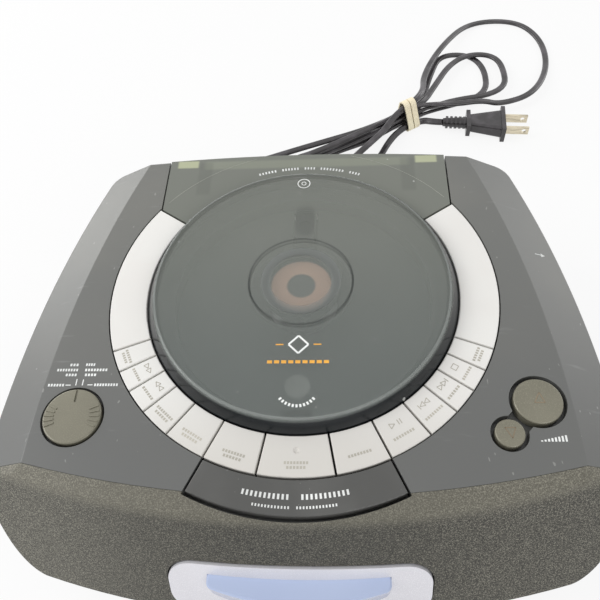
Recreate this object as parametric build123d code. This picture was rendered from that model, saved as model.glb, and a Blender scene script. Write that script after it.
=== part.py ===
from build123d import *
import math
import os

# A bedside clock radio with a top-loading disc player. Millimetres, +Z up, the front towards -Y.
# Everything but the cord is drawn about the upright axis of the disc and moved by DECK_Y at the end,
# so that the origin lies on the ground under the middle of the body.

# Body
TOP_Z = 90.0             # the flat top above the ground
LIP_Z = 34.0             # parting line, level with the front lip
FOOT_H = 4.0
WALL = 2.5
SEAM = 0.3               # gap between two shells
STRIP_REACH = 100.4      # disc axis to the end of the flat top
STRIP_RUN = 9.6          # from there to the fold where the front turns down
FRONT_RUN = 26.6         # fold to front lip
REAR_REACH = 91.0        # disc axis to the rear edge
HALF_WIDTH = 136.5
SIDE_R = 551.4           # long arcs of the plan
SIDE_MID_Y = -85.2
LIP_R = 436.6
REAR_R = 1000.0
STRIP_R = 500.0
FRONT_CORNER_R = 28.0
REAR_CORNER_R = 10.0
FOLD_DROP = 3.0
SHOULDER = 49.8          # front lip to where the front shell ends on each flank
FACET_W = 20.8           # sloping facet along each flank
FACET_DROP = 9.0
BASE_INSET = 5.0         # the lower casing draws in by this much at the bottom
LEDGE = 1.0              # step back at the parting line
GRILLE_WALL = 2.4
CREASE_R = 1.6
FOLD_REACH = STRIP_REACH + STRIP_RUN
LIP_REACH = FOLD_REACH + FRONT_RUN
SHOULDER_Y = SHOULDER - LIP_REACH
FLOOR_Z = FOOT_H + WALL
EDGE_HALF = HALF_WIDTH - 24.5    # half width of the baffle and of the rail behind the front
DECK_Y = (LIP_REACH - REAR_REACH) / 2
HIGH, FAR = 200.0, 400.0

# Lid, hinged along the rear edge
LID_R = 74.0
LID_H = 6.5
RIM_R = 70.2
LID_CROWN = 1.2
LID_WALL = 2.2
LID_SKIRT = 6.0
LID_GAP = 0.4            # half of the gap round the flange
FLANGE_T = 2.5
BAY_HALF = 75.8          # half width of the flange
HINGE_Y = REAR_REACH - 9
HINGE_Z = TOP_Z - 7
HINGE_X = 58.0           # middle of each knuckle
KNUCKLE_W = 8.0
KNUCKLE_R = 4.8
ARM_R = 4.1
PIN_R = 2.0
SHAFT_CLEAR = 0.05       # shaft to bore, on the radius
BAY_R = 12.0             # space that the rear edge of the lid swings through
REAR_SKIRT = 14.0
DIMPLE_Y = -55.0
DIMPLE_R = 5.75
DIMPLE_DEPTH = 0.6

# Ring of keys
KEY_IN_R = 74.7
KEY_OUT_R = 92.5
KEY_T = 3.5
KEY_GAP = 0.95
KEY_SPLITS = [10.2, 24.9, 37.05, 46.6, 54.4, 61.5, 68.7]    # degrees from the front
TRIM_END = 124.6
RING_CLEAR = 0.6
WELL_WALL = 2.0
REPEAT_IN_R = KEY_OUT_R + 0.9
REPEAT_W = 14.5
REPEAT_OUT_R = REPEAT_IN_R + REPEAT_W
REPEAT_STEM_R = REPEAT_IN_R + REPEAT_W / 2
REPEAT_STEMS = (-15, 0, 15)      # degrees
REPEAT_HALF = 24.7       # degrees
REPEAT_T = 5.5
REPEAT_FRONT_GAP = 1.7
KEY_TRAVEL = 0.9
STOP_GAP = 0.05          # left between a stem and its switch when pressed
STEM_CLEAR = 0.3
STEM_W = 5.0
STEM_D = 4.0
EDGE_R = 0.5
RING_R = KEY_OUT_R + RING_CLEAR

# Deck under the lid and the keys
SHELF_Z = TOP_Z - 8
SHELF_T = 2.5
DISC_WELL_R = 62.5
WELL_FLOOR_Z = SHELF_Z - 6
SPINDLE_HOLE_R = 17.0

# Player
PLATTER_R = 14.5
PLATTER_Z = WELL_FLOOR_Z + 6
PLATTER_T = 2.0
HUB_R = 7.4
HUB_H = 3.5
MOTOR_R = 12.5
MOTOR_H = 12.0
CHASSIS_Z = WELL_FLOOR_Z - 10
CHASSIS_T = 2.0
DAMPER_R = 4.5
RAIL_X = 17.0
RAIL_Z = CHASSIS_Z - 3
RAIL_R = 1.5
SLED_Y = 50.0            # pickup at rest, at the outer end of its travel
SLED_TRAVEL = 26.0       # inwards
TURRET_HALF_W = 5.5
TURRET_HALF_L = 9.0
SLOT_HALF = TURRET_HALF_W + 1
SLOT_END_Y = SLED_Y + TURRET_HALF_L + 2
MODULE = 0.8
PINION_TEETH = 14
PINION_Y = SLED_Y - 14
PINION_T = 4.0
RACK_X = 24.5
CLAMPER_R = 14.3
CLAMPER_NECK_R = 12.2
CLAMPER_SEAT_R = 16.0
RING_LINE_R = 25.0       # rib that shows as a circle through the lid

# Controls on the flat top
KNOB_X, KNOB_Y, KNOB_R = 38.3 - HALF_WIDTH, -66.1, 12.9
KNOB_CLEAR = 1.1
KNOB_RISE = 1.0
KNOB_SHAFT_R = 3.0
POCKET_Z = TOP_Z - 5
POCKET_T = 2.5
UP_X, UP_Y, UP_R = HALF_WIDTH - 35.4, -59.2, 10.3
DOWN_X, DOWN_Y, DOWN_R = UP_X - 13.6, UP_Y - 14.3, 6.2
VOLUME_MARGIN = 1.7
VOLUME_RISE = 0.8
TUNER_Y = 22.0
TUNER_R = 18.0
TUNER_Z = LIP_Z + 16.5
TUNER_T = 5.0
TUNER_OUT = 2.5
TUNER_CLEAR = 0.8

# Display in the sloping front
PLATE_W = 112.0
PLATE_H = 31.0
PLATE_R = 12.0
PLATE_Z = LIP_Z + 16.6   # middle of the plate
PLATE_PROUD = 1.0
PLATE_DEPTH = 1.5
PLATE_GAP = 0.7
LENS_HALF = 38.5
LENS_R = 119.0
LENS_REACH = LIP_REACH - 1.6
LENS_TOP_Z = PLATE_Z + 8.4
LENS_BASE_Z = PLATE_Z - 12.1
DISPLAY_Y = 18.1 - LIP_REACH
DISPLAY_T = 5.5

# Inside
BOARD_T = 1.6
KEY_BOARD_Z = SHELF_Z - 9
SWITCH_TOP = SHELF_Z - SHELF_T - 0.5
SWITCH_HALF = 3.0
MAIN_BOARD_Z = FLOOR_Z + 5.5
MAIN_X0, MAIN_X1 = -54.0, 64.0      # main board, left to right
MAIN_Y0, MAIN_Y1 = -64.0, 30.0      # and front to back
BOARD_POSTS = [(x, y) for x in (MAIN_X0 + 4, MAIN_X1 - 4) for y in (MAIN_Y0 + 4, MAIN_Y1 - 5)]
BAFFLE_Y = 41.6 - LIP_REACH
BAFFLE_TOP = TOP_Z - 20
SPEAKER_X = HALF_WIDTH - 62.5
SPEAKER_R = 31.0
SPEAKER_Z = FLOOR_Z + SPEAKER_R + 0.5
FRONT_BOSS = (HALF_WIDTH - 16.5, -45)
REAR_BOSS = (HALF_WIDTH - 32.5, REAR_REACH - 23)
BOSSES = [(side * x, y) for x, y in (FRONT_BOSS, REAR_BOSS) for side in (-1, 1)]
BOSS_R = 5.0
SCREW_R = 1.25
SCREW_HEAD_R = 3.2
SCREW_SEAT_Z = 16.0
SCREW_TIP_Z = LIP_Z + 12
GRILLE_POSTS = [(38, BAFFLE_TOP - 3.5), (HALF_WIDTH - 28.5, BAFFLE_TOP - 8)]
FRONT_FOOT = (HALF_WIDTH - 31.5, 48.6 - LIP_REACH)
REAR_FOOT = (HALF_WIDTH - 36.5, REAR_REACH - 36)
FEET = [(side * x, y) for x, y in (FRONT_FOOT, REAR_FOOT) for side in (-1, 1)]
FOOT_R = 8.5
BATTERY_X0, BATTERY_X1 = 20.0, 80.0
BATTERY_Y0 = REAR_REACH - 37
BATTERY_WALL = 2.0
BATTERY_ROOF_Z = 28.0
DOOR_T = 2.3
DOOR_GAP = 0.3

# Cord, tied in a hank behind the body. It has a sheet of its own, on which the rear edge of the
# body is at SHEET_REAR_Y.
SHEET_REAR_Y = 113.8
GLAND_X = -20.0
GLAND_Z = 20.0
GLAND_END_Y = SHEET_REAR_Y + 22.2
CORD_D = 4.0
CORD_GAP = 0.5
BAND_X, BAND_Y = 69.0, 239.0
BAND_TURN = 32.0         # degrees, the hank's direction under the band
BAND_T = 1.0
BAND_W = 4.5
WAIST_Z = CORD_D / 2 + 1.9
PLUG_X, PLUG_Y = 95.5, 232.0
PLUG_TURN = -5.0
FLANGE_W, FLANGE_H = 25.0, 12.4
PLUG_Z = FLANGE_H / 2
NECK_LENGTH = 18.0
PLUG_LENGTH = 45.0
BLADE_LENGTH = 17.0
BLADE_SPACING = 12.7
BLADE_T = 1.5

PARTS = {}
CORD_PARTS = ["cord_lead", "cord_hank", "cord_band", "cord_plug", "plug_blades"]


def rod(x, y, radius, z0, z1):
    """An upright cylinder."""
    return Pos(x, y, z0) * Cylinder(radius, z1 - z0, align=(Align.CENTER, Align.CENTER, Align.MIN))


def rod_x(y, z, radius, x0, x1):
    """A cylinder along X."""
    return Pos((x0 + x1) / 2, y, z) * Rot(0, 90, 0) * Cylinder(radius, x1 - x0)


def rod_y(x, z, radius, y0, y1):
    """A cylinder along Y."""
    return Pos(x, (y0 + y1) / 2, z) * Rot(90, 0, 0) * Cylinder(radius, y1 - y0)


def block(x0, x1, y0, y1, z0, z1):
    return Pos((x0 + x1) / 2, (y0 + y1) / 2, (z0 + z1) / 2) * Box(x1 - x0, y1 - y0, z1 - z0)


def slab(face, z0, z1):
    """A flat outline raised from z0 to z1."""
    return Pos(0, 0, z0) * extrude(face, z1 - z0)


def polar(radius, degrees):
    """A point of the ring, by its angle from the front, positive to the right."""
    turn = math.radians(degrees)
    return radius * math.sin(turn), -radius * math.cos(turn)


def sector(r_in, r_out, a0, a1, gap):
    """A piece of the ring between two angles, drawn in by half the gap along both ends."""
    middle = (a0 + a1) / 2
    tip = polar(gap / 2 / math.sin(math.radians(middle - a0)), middle)
    ends = [polar(2.5 * r_out, a) for a in (a0, middle, a1)]
    corners = [tip] + [(tip[0] + x, tip[1] + y) for x, y in ends]
    return (Circle(r_out) - Circle(r_in)) & Polygon(*corners, align=None)


# Outer form

def plan(inset):
    """The plan outline: four long arcs and rounded corners."""
    side_x = SIDE_R - HALF_WIDTH
    shape = Pos(-side_x, SIDE_MID_Y) * Rot(0, 0, 180) * Circle(SIDE_R - inset)
    shape &= Pos(side_x, SIDE_MID_Y) * Circle(SIDE_R - inset)
    shape &= Pos(0, LIP_R - LIP_REACH) * Circle(LIP_R - inset)
    shape &= Pos(0, REAR_REACH - REAR_R) * Circle(REAR_R - inset)
    shape = fillet(shape.vertices().sort_by(Axis.Y)[:2], FRONT_CORNER_R - inset)
    return fillet(shape.vertices().sort_by(Axis.Y)[-2:], REAR_CORNER_R - inset)


def sloped(x, y, radius, at_z, run, inset, z0, turn=0):
    """A cone about an upright axis that draws in by run for each unit of height, offset by inset."""
    height = TOP_Z - z0
    low = radius - inset * math.hypot(1, run) + run * (at_z - z0)
    cone = Cone(low, low - run * height, height, align=(Align.CENTER, Align.CENTER, Align.MIN))
    return Pos(x, y, z0) * Rot(0, 0, turn) * cone


def body(inset, z0):
    """The whole outer form from z0 up, drawn in by inset on every side."""
    front_run = (LIP_REACH - FOLD_REACH) / (TOP_Z - FOLD_DROP - LIP_Z)
    strip_run = (FOLD_REACH - STRIP_REACH) / FOLD_DROP
    facet_run = FACET_W / FACET_DROP
    facet_z = TOP_Z - FACET_DROP
    side_x = SIDE_R - HALF_WIDTH
    form = slab(plan(inset), z0, TOP_Z - inset)
    form &= sloped(0, LIP_R - LIP_REACH, LIP_R, LIP_Z, front_run, inset, z0)
    form &= sloped(0, STRIP_R - STRIP_REACH, STRIP_R, TOP_Z, strip_run, inset, z0)
    form &= sloped(-side_x, SIDE_MID_Y, SIDE_R, facet_z, facet_run, inset, z0, turn=180)
    form &= sloped(side_x, SIDE_MID_Y, SIDE_R, facet_z, facet_run, inset, z0)
    return form


def front_zone(clear):
    """The space of the front shell: before the end of the flat top and before the shoulders."""
    zone = block(-FAR, FAR, -FAR, SHOULDER_Y - clear, LIP_Z - 10, HIGH)
    return zone - rod(0, STRIP_R - STRIP_REACH, STRIP_R + clear, LIP_Z - 20, HIGH + 10)


def bay(grow):
    """The outline of the lid's rear flange, grown on every side."""
    corner = BAY_HALF / math.sin(math.radians(TRIM_END))
    x, y = polar(corner, TRIM_END)
    outline = Polygon((0, 0), (x, y), (x, FAR), (-x, FAR), (-x, y), align=None)
    return offset(outline, amount=grow, kind=Kind.INTERSECTION)


def repeat_hole(grow):
    return sector(DISC_WELL_R, REPEAT_OUT_R + REPEAT_FRONT_GAP + grow,
                  -REPEAT_HALF, REPEAT_HALF, -2 * grow - KEY_GAP)


def stems():
    """Middle angles of the ring keys."""
    edges = [-a for a in reversed(KEY_SPLITS)] + KEY_SPLITS
    return list(zip(edges[:-1], edges[1:]))


def stem(angle, grow, z0, z1):
    """The stem of a ring key, or with grow the hole that guides it."""
    radius = (KEY_IN_R + KEY_OUT_R) / 2
    w, d = STEM_W / 2 + grow, STEM_D / 2 + grow
    return Rot(0, 0, angle) * block(-w, w, -radius - d, -radius + d, z0, z1)


# Casings

def soften(form):
    """The outer form with its creases rounded."""
    creases = form.edges().filter_by(lambda e: e.center().Z > TOP_Z - FACET_DROP - 0.5)
    return fillet(creases, CREASE_R)


def volume_pocket(grow):
    """The figure of eight round both volume buttons."""
    big = Pos(UP_X, UP_Y) * Circle(UP_R + VOLUME_MARGIN + grow)
    small = Pos(DOWN_X, DOWN_Y) * Circle(DOWN_R + VOLUME_MARGIN + grow)
    middle = ((UP_X + DOWN_X) / 2, (UP_Y + DOWN_Y) / 2)
    lean = math.degrees(math.atan2(UP_Y - DOWN_Y, UP_X - DOWN_X))
    neck = Pos(*middle) * Rot(0, 0, lean) * Rectangle(UP_R, UP_R + 2 * grow)
    return big + small + neck


def top_case(outer):
    low = LIP_Z + SEAM / 2
    shelf_r = RING_R + WELL_WALL
    rail_z = SHELF_Z - 3
    rail_y = STRIP_R - STRIP_REACH
    side_z = SHELF_Z - 12
    inner = body(WALL, low)
    skin = body(WALL / 2, LIP_Z)
    front = front_zone(0)
    shell = outer - inner - front
    ribs = slab(Circle(shelf_r) - Circle(RING_R), SHELF_Z, TOP_Z)
    repeat_r = REPEAT_OUT_R + REPEAT_FRONT_GAP + WELL_WALL
    repeat_half = REPEAT_HALF + 2.3
    ribs += slab(sector(DISC_WELL_R, repeat_r, -repeat_half, repeat_half, 0), SHELF_Z - SHELF_T, TOP_Z)
    ribs += rod(KNOB_X, KNOB_Y, KNOB_R + KNOB_CLEAR + WELL_WALL, POCKET_Z - POCKET_T, TOP_Z)
    ribs += slab(volume_pocket(WELL_WALL), POCKET_Z - POCKET_T, TOP_Z)
    rail = rod(0, rail_y, STRIP_R, rail_z, TOP_Z) - rod(0, rail_y, STRIP_R - WELL_WALL, 0, HIGH)
    ribs += rail & block(-EDGE_HALF, EDGE_HALF, -FAR, SHOULDER_Y + WELL_WALL, rail_z, TOP_Z)
    for side in (-1, 1):
        x = side * (BAY_HALF + LID_GAP + 1.2)
        ribs += block(x - 1, x + 1, HINGE_Y - 32, HINGE_Y + 8, SHELF_Z, TOP_Z)
        ribs += block(x - 1, x + 1, HINGE_Y - 24, HINGE_Y + 8, side_z, SHELF_Z)
    ribs -= front - body(GRILLE_WALL + 0.1, low)
    for x, y in BOSSES:
        ribs += rod(x, y, BOSS_R - 1, LIP_Z, TOP_Z)
    case = shell + (ribs & skin)
    # openings in the flat top
    case -= slab(Circle(RING_R), SHELF_Z, HIGH)
    case -= rod(0, 0, shelf_r + 0.1, SHELF_Z - 10, SHELF_Z)
    case -= slab(bay(LID_GAP), SHELF_Z, HIGH) & block(-FAR, FAR, 0, HINGE_Y, 0, HIGH)
    rear_half = BAY_HALF + LID_GAP
    case -= block(-rear_half, rear_half, HINGE_Y - 1, FAR, TOP_Z - REAR_SKIRT - 0.7, HIGH)
    case -= rod_x(HINGE_Y, HINGE_Z, BAY_R, -rear_half, rear_half)
    case -= slab(repeat_hole(0), SHELF_Z, HIGH)
    for angle in REPEAT_STEMS:
        x, y = polar(REPEAT_STEM_R, angle)
        case -= rod(x, y, STEM_W / 2 + STEM_CLEAR, SHELF_Z - 10, SHELF_Z + 1)
    # pockets and guides of the controls
    case -= rod(KNOB_X, KNOB_Y, KNOB_R + KNOB_CLEAR, POCKET_Z, HIGH)
    case -= rod(KNOB_X, KNOB_Y, KNOB_SHAFT_R + STEM_CLEAR, 0, HIGH)
    case -= slab(volume_pocket(0), POCKET_Z, HIGH)
    for x, y in ((UP_X, UP_Y), (DOWN_X, DOWN_Y)):
        case -= rod(x, y, STEM_W / 2 + STEM_CLEAR, 0, HIGH)
    wheel_half = math.sqrt(TUNER_R ** 2 - (TUNER_R - TUNER_OUT - WALL) ** 2) + TUNER_CLEAR
    mouth = block(5, 30, -wheel_half, wheel_half, TUNER_Z - TUNER_CLEAR, TUNER_Z + TUNER_T + TUNER_CLEAR)
    case -= tuner_place() * mouth
    for x, y in BOSSES:
        case -= rod(x, y, SCREW_R + 0.1, 0, SCREW_TIP_Z + 4)
    return case


def plate_plane():
    run = (LIP_REACH - FOLD_REACH) / (TOP_Z - FOLD_DROP - LIP_Z)
    y = -(LIP_REACH - run * (PLATE_Z - LIP_Z))
    return Plane(origin=(0, y, PLATE_Z), x_dir=(1, 0, 0), z_dir=(0, -1, run))


def plate_block(grow):
    """The display plate's outline, carried through the sloping front."""
    outline = RectangleRounded(PLATE_W + 2 * grow, PLATE_H + 2 * grow, PLATE_R + grow)
    return extrude(plate_plane() * outline, 9, both=True)


def lens_block(grow):
    face = Pos(0, LENS_R - LENS_REACH) * Circle(LENS_R + grow)
    face &= Pos(0, DISPLAY_Y - 50) * Rectangle(2 * (LENS_HALF + grow), 100)
    face = fillet(face.vertices().sort_by(Axis.Y)[:2], 3 + grow)
    return slab(face, LENS_BASE_Z - grow, LENS_TOP_Z + grow)


def front_grille(outer):
    shell = (outer - body(GRILLE_WALL, LIP_Z)) & front_zone(0.15)
    shell -= slab(repeat_hole(0), SHELF_Z - 10, HIGH)
    skin = body(GRILLE_WALL / 2, LIP_Z)
    for x, z in GRILLE_POSTS:
        for side in (-1, 1):
            shell += rod_y(side * x, z, 2, -FAR, BAFFLE_Y) & skin
    return shell - plate_block(PLATE_GAP)


def display_bezel():
    shell = body(-PLATE_PROUD, LIP_Z) - body(PLATE_DEPTH, LIP_Z)
    return (shell & plate_block(0)) - lens_block(0)


def display_lens():
    return chamfer(lens_block(0).edges().group_by(Axis.Z)[-1], 0.8)


def bottom_outline(inset, z):
    """The lower casing's outline at a height: it draws in towards the bottom."""
    high = LIP_Z - SEAM / 2
    share = (high - z) / (high - FOOT_H)
    return Pos(0, 0, z) * plan(inset + LEDGE + (BASE_INSET - LEDGE) * share)


def bottom_case():
    high = LIP_Z - SEAM / 2
    outer = loft([bottom_outline(0, FOOT_H), bottom_outline(0, high)], ruled=True)
    inner = loft([bottom_outline(WALL, FLOOR_Z), bottom_outline(WALL, high)], ruled=True)
    case = outer - inner
    full = loft([bottom_outline(1, FOOT_H), bottom_outline(1, high)], ruled=True)
    ribs = block(BATTERY_X0, BATTERY_X1, BATTERY_Y0, REAR_REACH, FLOOR_Z, BATTERY_ROOF_Z + BATTERY_WALL)
    for x, y in BOSSES:
        ribs += rod(x, y, BOSS_R, FLOOR_Z, high)
    for x, y in BOARD_POSTS:
        ribs += rod(x, y, 3, FLOOR_Z, MAIN_BOARD_Z)
    case += ribs & full
    tower = block(-11, 11, -11, 11, FLOOR_Z, TUNER_Z - 14) - block(-9, 9, -9, 9, FLOOR_Z, TUNER_Z - 16)
    case += (tuner_place() * tower) & (full + block(0, HALF_WIDTH - 6.5, 0, REAR_REACH, high, TUNER_Z))
    # battery bay, with its mouth in the bottom
    x0, x1, y0 = BATTERY_X0 + BATTERY_WALL, BATTERY_X1 - BATTERY_WALL, BATTERY_Y0 + BATTERY_WALL
    case -= block(x0, x1, y0, REAR_REACH - 7, FLOOR_Z - 1, BATTERY_ROOF_Z)
    case -= block(x0, x1, y0, FAR, 0, FOOT_H + DOOR_T + 0.2)
    for x, y in BOSSES:
        case += rod(x, y, BOSS_R - 1, high - 1, LIP_Z)
        case -= rod(x, y, SCREW_HEAD_R + 0.5, 0, SCREW_SEAT_Z)
        case -= rod(x, y, SCREW_R + 0.4, 0, LIP_Z)
    case -= rod_y(GLAND_X, GLAND_Z, 4.1, REAR_REACH - 21, FAR)
    for i in range(-6, 7):
        case -= block(7 * i - 1.5, 7 * i + 1.5, -45, -15, 0, FLOOR_Z)
    return case


def battery_door():
    inset = BATTERY_WALL + DOOR_GAP
    plate = block(BATTERY_X0 + inset, BATTERY_X1 - inset, BATTERY_Y0 + inset, FAR, FOOT_H, FOOT_H + DOOR_T)
    plate &= loft([bottom_outline(0, FOOT_H), bottom_outline(0, FOOT_H + 20)], ruled=True)
    for i in range(3):
        y = BATTERY_Y0 + 8 + 2.5 * i
        plate -= block(BATTERY_X0 + 15, BATTERY_X1 - 15, y, y + 1.2, 0, FOOT_H + 0.6)
    return plate


# Lid

def disc_lid():
    rim_z, top_z = TOP_Z + LID_H, TOP_Z + LID_H + LID_CROWN
    low = TOP_Z - LID_SKIRT
    roof = ThreePointArc((0, top_z), (RIM_R / 2, rim_z + LID_CROWN * 0.75), (RIM_R, rim_z))
    under = ThreePointArc((0, top_z - LID_WALL), (RIM_R / 2 - 1, rim_z + LID_CROWN * 0.75 - LID_WALL),
                          (RIM_R - 2, rim_z - LID_WALL))
    wall = Polyline((RIM_R, rim_z), (LID_R, TOP_Z), (LID_R, low), (LID_R - 2, low),
                    (LID_R - 2, TOP_Z), (RIM_R - 2, rim_z - LID_WALL))
    axis = Line((0, top_z - LID_WALL), (0, top_z))
    profile = make_face(roof + under + wall + axis)
    profile = fillet(profile.vertices().group_by(Axis.Y)[-2].sort_by(Axis.X)[-1:], 1.8)
    lid = revolve(Plane.XZ * profile, Axis.Z)
    flange = slab(bay(-LID_GAP) & plan(0.1), TOP_Z - FLANGE_T, TOP_Z) - rod(0, 0, LID_R - 2, 0, HIGH)
    skirt = slab(plan(0.1) - plan(0.1 + WALL), TOP_Z - REAR_SKIRT, TOP_Z)
    skirt &= block(-BAY_HALF + LID_GAP, BAY_HALF - LID_GAP, HINGE_Y - 2, FAR, 0, HIGH)
    lid += flange
    lid += skirt
    for side in (-1, 1):
        x0, x1 = side * HINGE_X - KNUCKLE_W / 2, side * HINGE_X + KNUCKLE_W / 2
        lid += rod_x(HINGE_Y, HINGE_Z, KNUCKLE_R, x0, x1)
        lid += block(x0, x1, HINGE_Y - 4, HINGE_Y + 3, HINGE_Z, TOP_Z - FLANGE_T)
        lid -= rod_x(HINGE_Y, HINGE_Z, PIN_R + SHAFT_CLEAR, x0 - 1, x1 + 1)
    # seat of the clamper, the rib round it, and the hook
    under_z = top_z - LID_WALL - 0.3
    seat = rod(0, 0, CLAMPER_SEAT_R + 2, TOP_Z - 1.2, under_z + 0.5)
    seat -= rod(0, 0, CLAMPER_SEAT_R, TOP_Z, HIGH)
    lid += seat - rod(0, 0, CLAMPER_NECK_R + 0.3, 0, HIGH)
    lid += rod(0, 0, RING_LINE_R, TOP_Z + 1.5, under_z + 0.3) - rod(0, 0, RING_LINE_R - 1, 0, HIGH)
    lid += block(-4, 4, -LID_R + 1, -LID_R + 3.8, low - 6, low + 3)
    lid += block(-4, 4, -LID_R + 3.8, -LID_R + 5, low - 6, low - 4.6)
    # push spot
    ball = (DIMPLE_R ** 2 + DIMPLE_DEPTH ** 2) / (2 * DIMPLE_DEPTH)
    surface = top_z - LID_CROWN * (DIMPLE_Y / RIM_R) ** 2
    return lid - Pos(0, DIMPLE_Y, surface - DIMPLE_DEPTH + ball) * Sphere(ball)


def disc_clamper():
    z0, z1 = PLATTER_Z + 2.3, PLATTER_Z + 4.8
    puck = rod(0, 0, CLAMPER_R, z0, z1) + rod(0, 0, CLAMPER_NECK_R, z1, TOP_Z + 0.4)
    puck += rod(0, 0, CLAMPER_SEAT_R - 0.8, TOP_Z + 0.3, TOP_Z + 2.2)
    return puck - rod(0, 0, HUB_R + 0.8, z0 - 1, z1 + 0.2)


def hinge_pins():
    half = KNUCKLE_W / 2 + 4.5
    return [rod_x(HINGE_Y, HINGE_Z, PIN_R, x - half, x + half) for x in (-HINGE_X, HINGE_X)]


def disc_deck():
    z0 = SHELF_Z - SHELF_T
    half = BAY_HALF + LID_GAP + 0.1
    shelf = slab(Circle(RING_R + WELL_WALL), z0, SHELF_Z) + block(-half, half, 30, HINGE_Y - 6, z0, SHELF_Z)
    shelf &= block(-FAR, FAR, -FAR, HINGE_Y - 6, 0, HIGH)
    trough = rod_x(HINGE_Y, HINGE_Z, BAY_R + 2, -half, half) & block(-FAR, FAR, 0, FAR, 0, SHELF_Z)
    deck = (shelf + trough) & slab(plan(WALL + 0.1), 0, HIGH)
    deck -= rod_x(HINGE_Y, HINGE_Z, BAY_R, -FAR, FAR)
    deck += rod(0, 0, DISC_WELL_R + 2, WELL_FLOOR_Z - SHELF_T, TOP_Z - LID_SKIRT)
    deck -= rod(0, 0, DISC_WELL_R, WELL_FLOOR_Z, HIGH)
    # hinge brackets reach back from the shelf
    for side in (-1, 1):
        for x in (side * HINGE_X - KNUCKLE_W / 2 - 4, side * HINGE_X + KNUCKLE_W / 2 + 1):
            deck += block(x, x + 3, HINGE_Y - 16, HINGE_Y, z0, HINGE_Z)
            deck += rod_x(HINGE_Y, HINGE_Z, ARM_R, x, x + 3)
        deck -= rod_x(HINGE_Y, HINGE_Z, PIN_R + 0.02, side * HINGE_X - 12, side * HINGE_X + 12)
    # spindle hole and pickup slot
    deck -= rod(0, 0, SPINDLE_HOLE_R, 0, HIGH)
    deck -= block(-SLOT_HALF, SLOT_HALF, 0, SLOT_END_Y, 0, WELL_FLOOR_Z)
    for a0, a1 in stems():
        deck -= stem((a0 + a1) / 2, STEM_CLEAR, z0 - 1, SHELF_Z + 1)
    deck -= block(-5, 5, -LID_R, -LID_R + 6, z0 - 1, SHELF_Z + 1)
    for angle in (-58, -31, 31, 58):
        x, y = polar(KEY_OUT_R - 3.5, angle)
        deck += rod(x, y, 1.8, KEY_BOARD_Z + BOARD_T, z0)
    return deck


def lid_latch():
    y = -LID_R + 2.4
    top = SHELF_Z - SHELF_T
    box = block(-8, 8, y - 3.5, y + 5.5, top - 14, top)
    return box - block(-5.5, 5.5, y - 2, y + 4, top - 9, HIGH)


# Keys

def ring_key(a0, a1):
    z0 = TOP_Z - KEY_T
    cap = slab(sector(KEY_IN_R, KEY_OUT_R, a0, a1, KEY_GAP), z0, TOP_Z)
    cap = fillet(cap.edges().group_by(Axis.Z)[-1], EDGE_R)
    if a0 < 0 < a1:
        x, y = polar(81, 0)
        cap -= Pos(x, y, TOP_Z + 0.8) * Sphere(1.6)
    return cap + stem((a0 + a1) / 2, 0, SWITCH_TOP + KEY_TRAVEL + STOP_GAP, z0)


def trim(side):
    a0, a1 = sorted((side * KEY_SPLITS[-1], side * TRIM_END))
    z0 = TOP_Z - KEY_T
    arc = slab(sector(KEY_IN_R, KEY_OUT_R, a0, a1, KEY_GAP), z0, TOP_Z)
    arc = fillet(arc.edges().group_by(Axis.Z)[-1], EDGE_R)
    for share in (0.15, 0.5, 0.85):
        x, y = polar((KEY_IN_R + KEY_OUT_R) / 2, a0 + share * (a1 - a0))
        arc += rod(x, y, 2.5, SHELF_Z, z0)
    return arc


def repeat_key():
    z0 = TOP_Z - REPEAT_T
    cap = slab(sector(REPEAT_IN_R, REPEAT_OUT_R, -REPEAT_HALF, REPEAT_HALF, KEY_GAP), z0, TOP_Z)
    cap = fillet(cap.edges().group_by(Axis.Z)[-1], EDGE_R)
    for angle in REPEAT_STEMS:
        x, y = polar(REPEAT_STEM_R, angle)
        cap += rod(x, y, STEM_W / 2, SWITCH_TOP + KEY_TRAVEL + STOP_GAP, z0)
    return cap


def selector_knob():
    top = TOP_Z + KNOB_RISE
    knob = rod(0, 0, KNOB_R, POCKET_Z + 0.6, top)
    knob = fillet(knob.edges().group_by(Axis.Z)[-1], 0.8)
    knob += rod(0, 0, KNOB_SHAFT_R, POCKET_Z - POCKET_T - 7, POCKET_Z + 1)
    for start in (0, 180):
        for turn in range(-24, 25, 12):
            knob += Rot(0, 0, start + turn) * block(8, 12.2, -0.35, 0.35, top - 1, top + 0.35)
    knob -= block(-0.5, 0.5, 6.5, KNOB_R + 1, top - 0.6, HIGH)
    return Pos(KNOB_X, KNOB_Y, 0) * knob


def volume_button(x, y, radius):
    button = rod(x, y, radius, POCKET_Z + KEY_TRAVEL + 0.1, TOP_Z + VOLUME_RISE)
    button = fillet(button.edges().group_by(Axis.Z)[-1], 0.8)
    low = POCKET_Z - POCKET_T - 1.5 + KEY_TRAVEL + STOP_GAP
    return button + rod(x, y, STEM_W / 2, low, POCKET_Z + 2)


def push_switch(x, y, board_top, top):
    """A square tact switch with its plunger."""
    h = SWITCH_HALF
    return block(x - h, x + h, y - h, y + h, board_top, top - 1) + rod(x, y, 1.7, top - 1, top)


def volume_board():
    low = POCKET_Z - POCKET_T
    top = low - 7
    board = block(UP_X - 21, UP_X + 11, UP_Y - 23, UP_Y + 11, top - BOARD_T, top)
    board -= rod(0, 0, RING_R, 0, HIGH)
    for x, y in ((UP_X, UP_Y), (DOWN_X, DOWN_Y)):
        board += push_switch(x, y, top, low - 1.5)
    for y in (UP_Y - 9.5, UP_Y + 9.5):
        board += rod(UP_X, y, 2, top, low)
    return board


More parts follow.
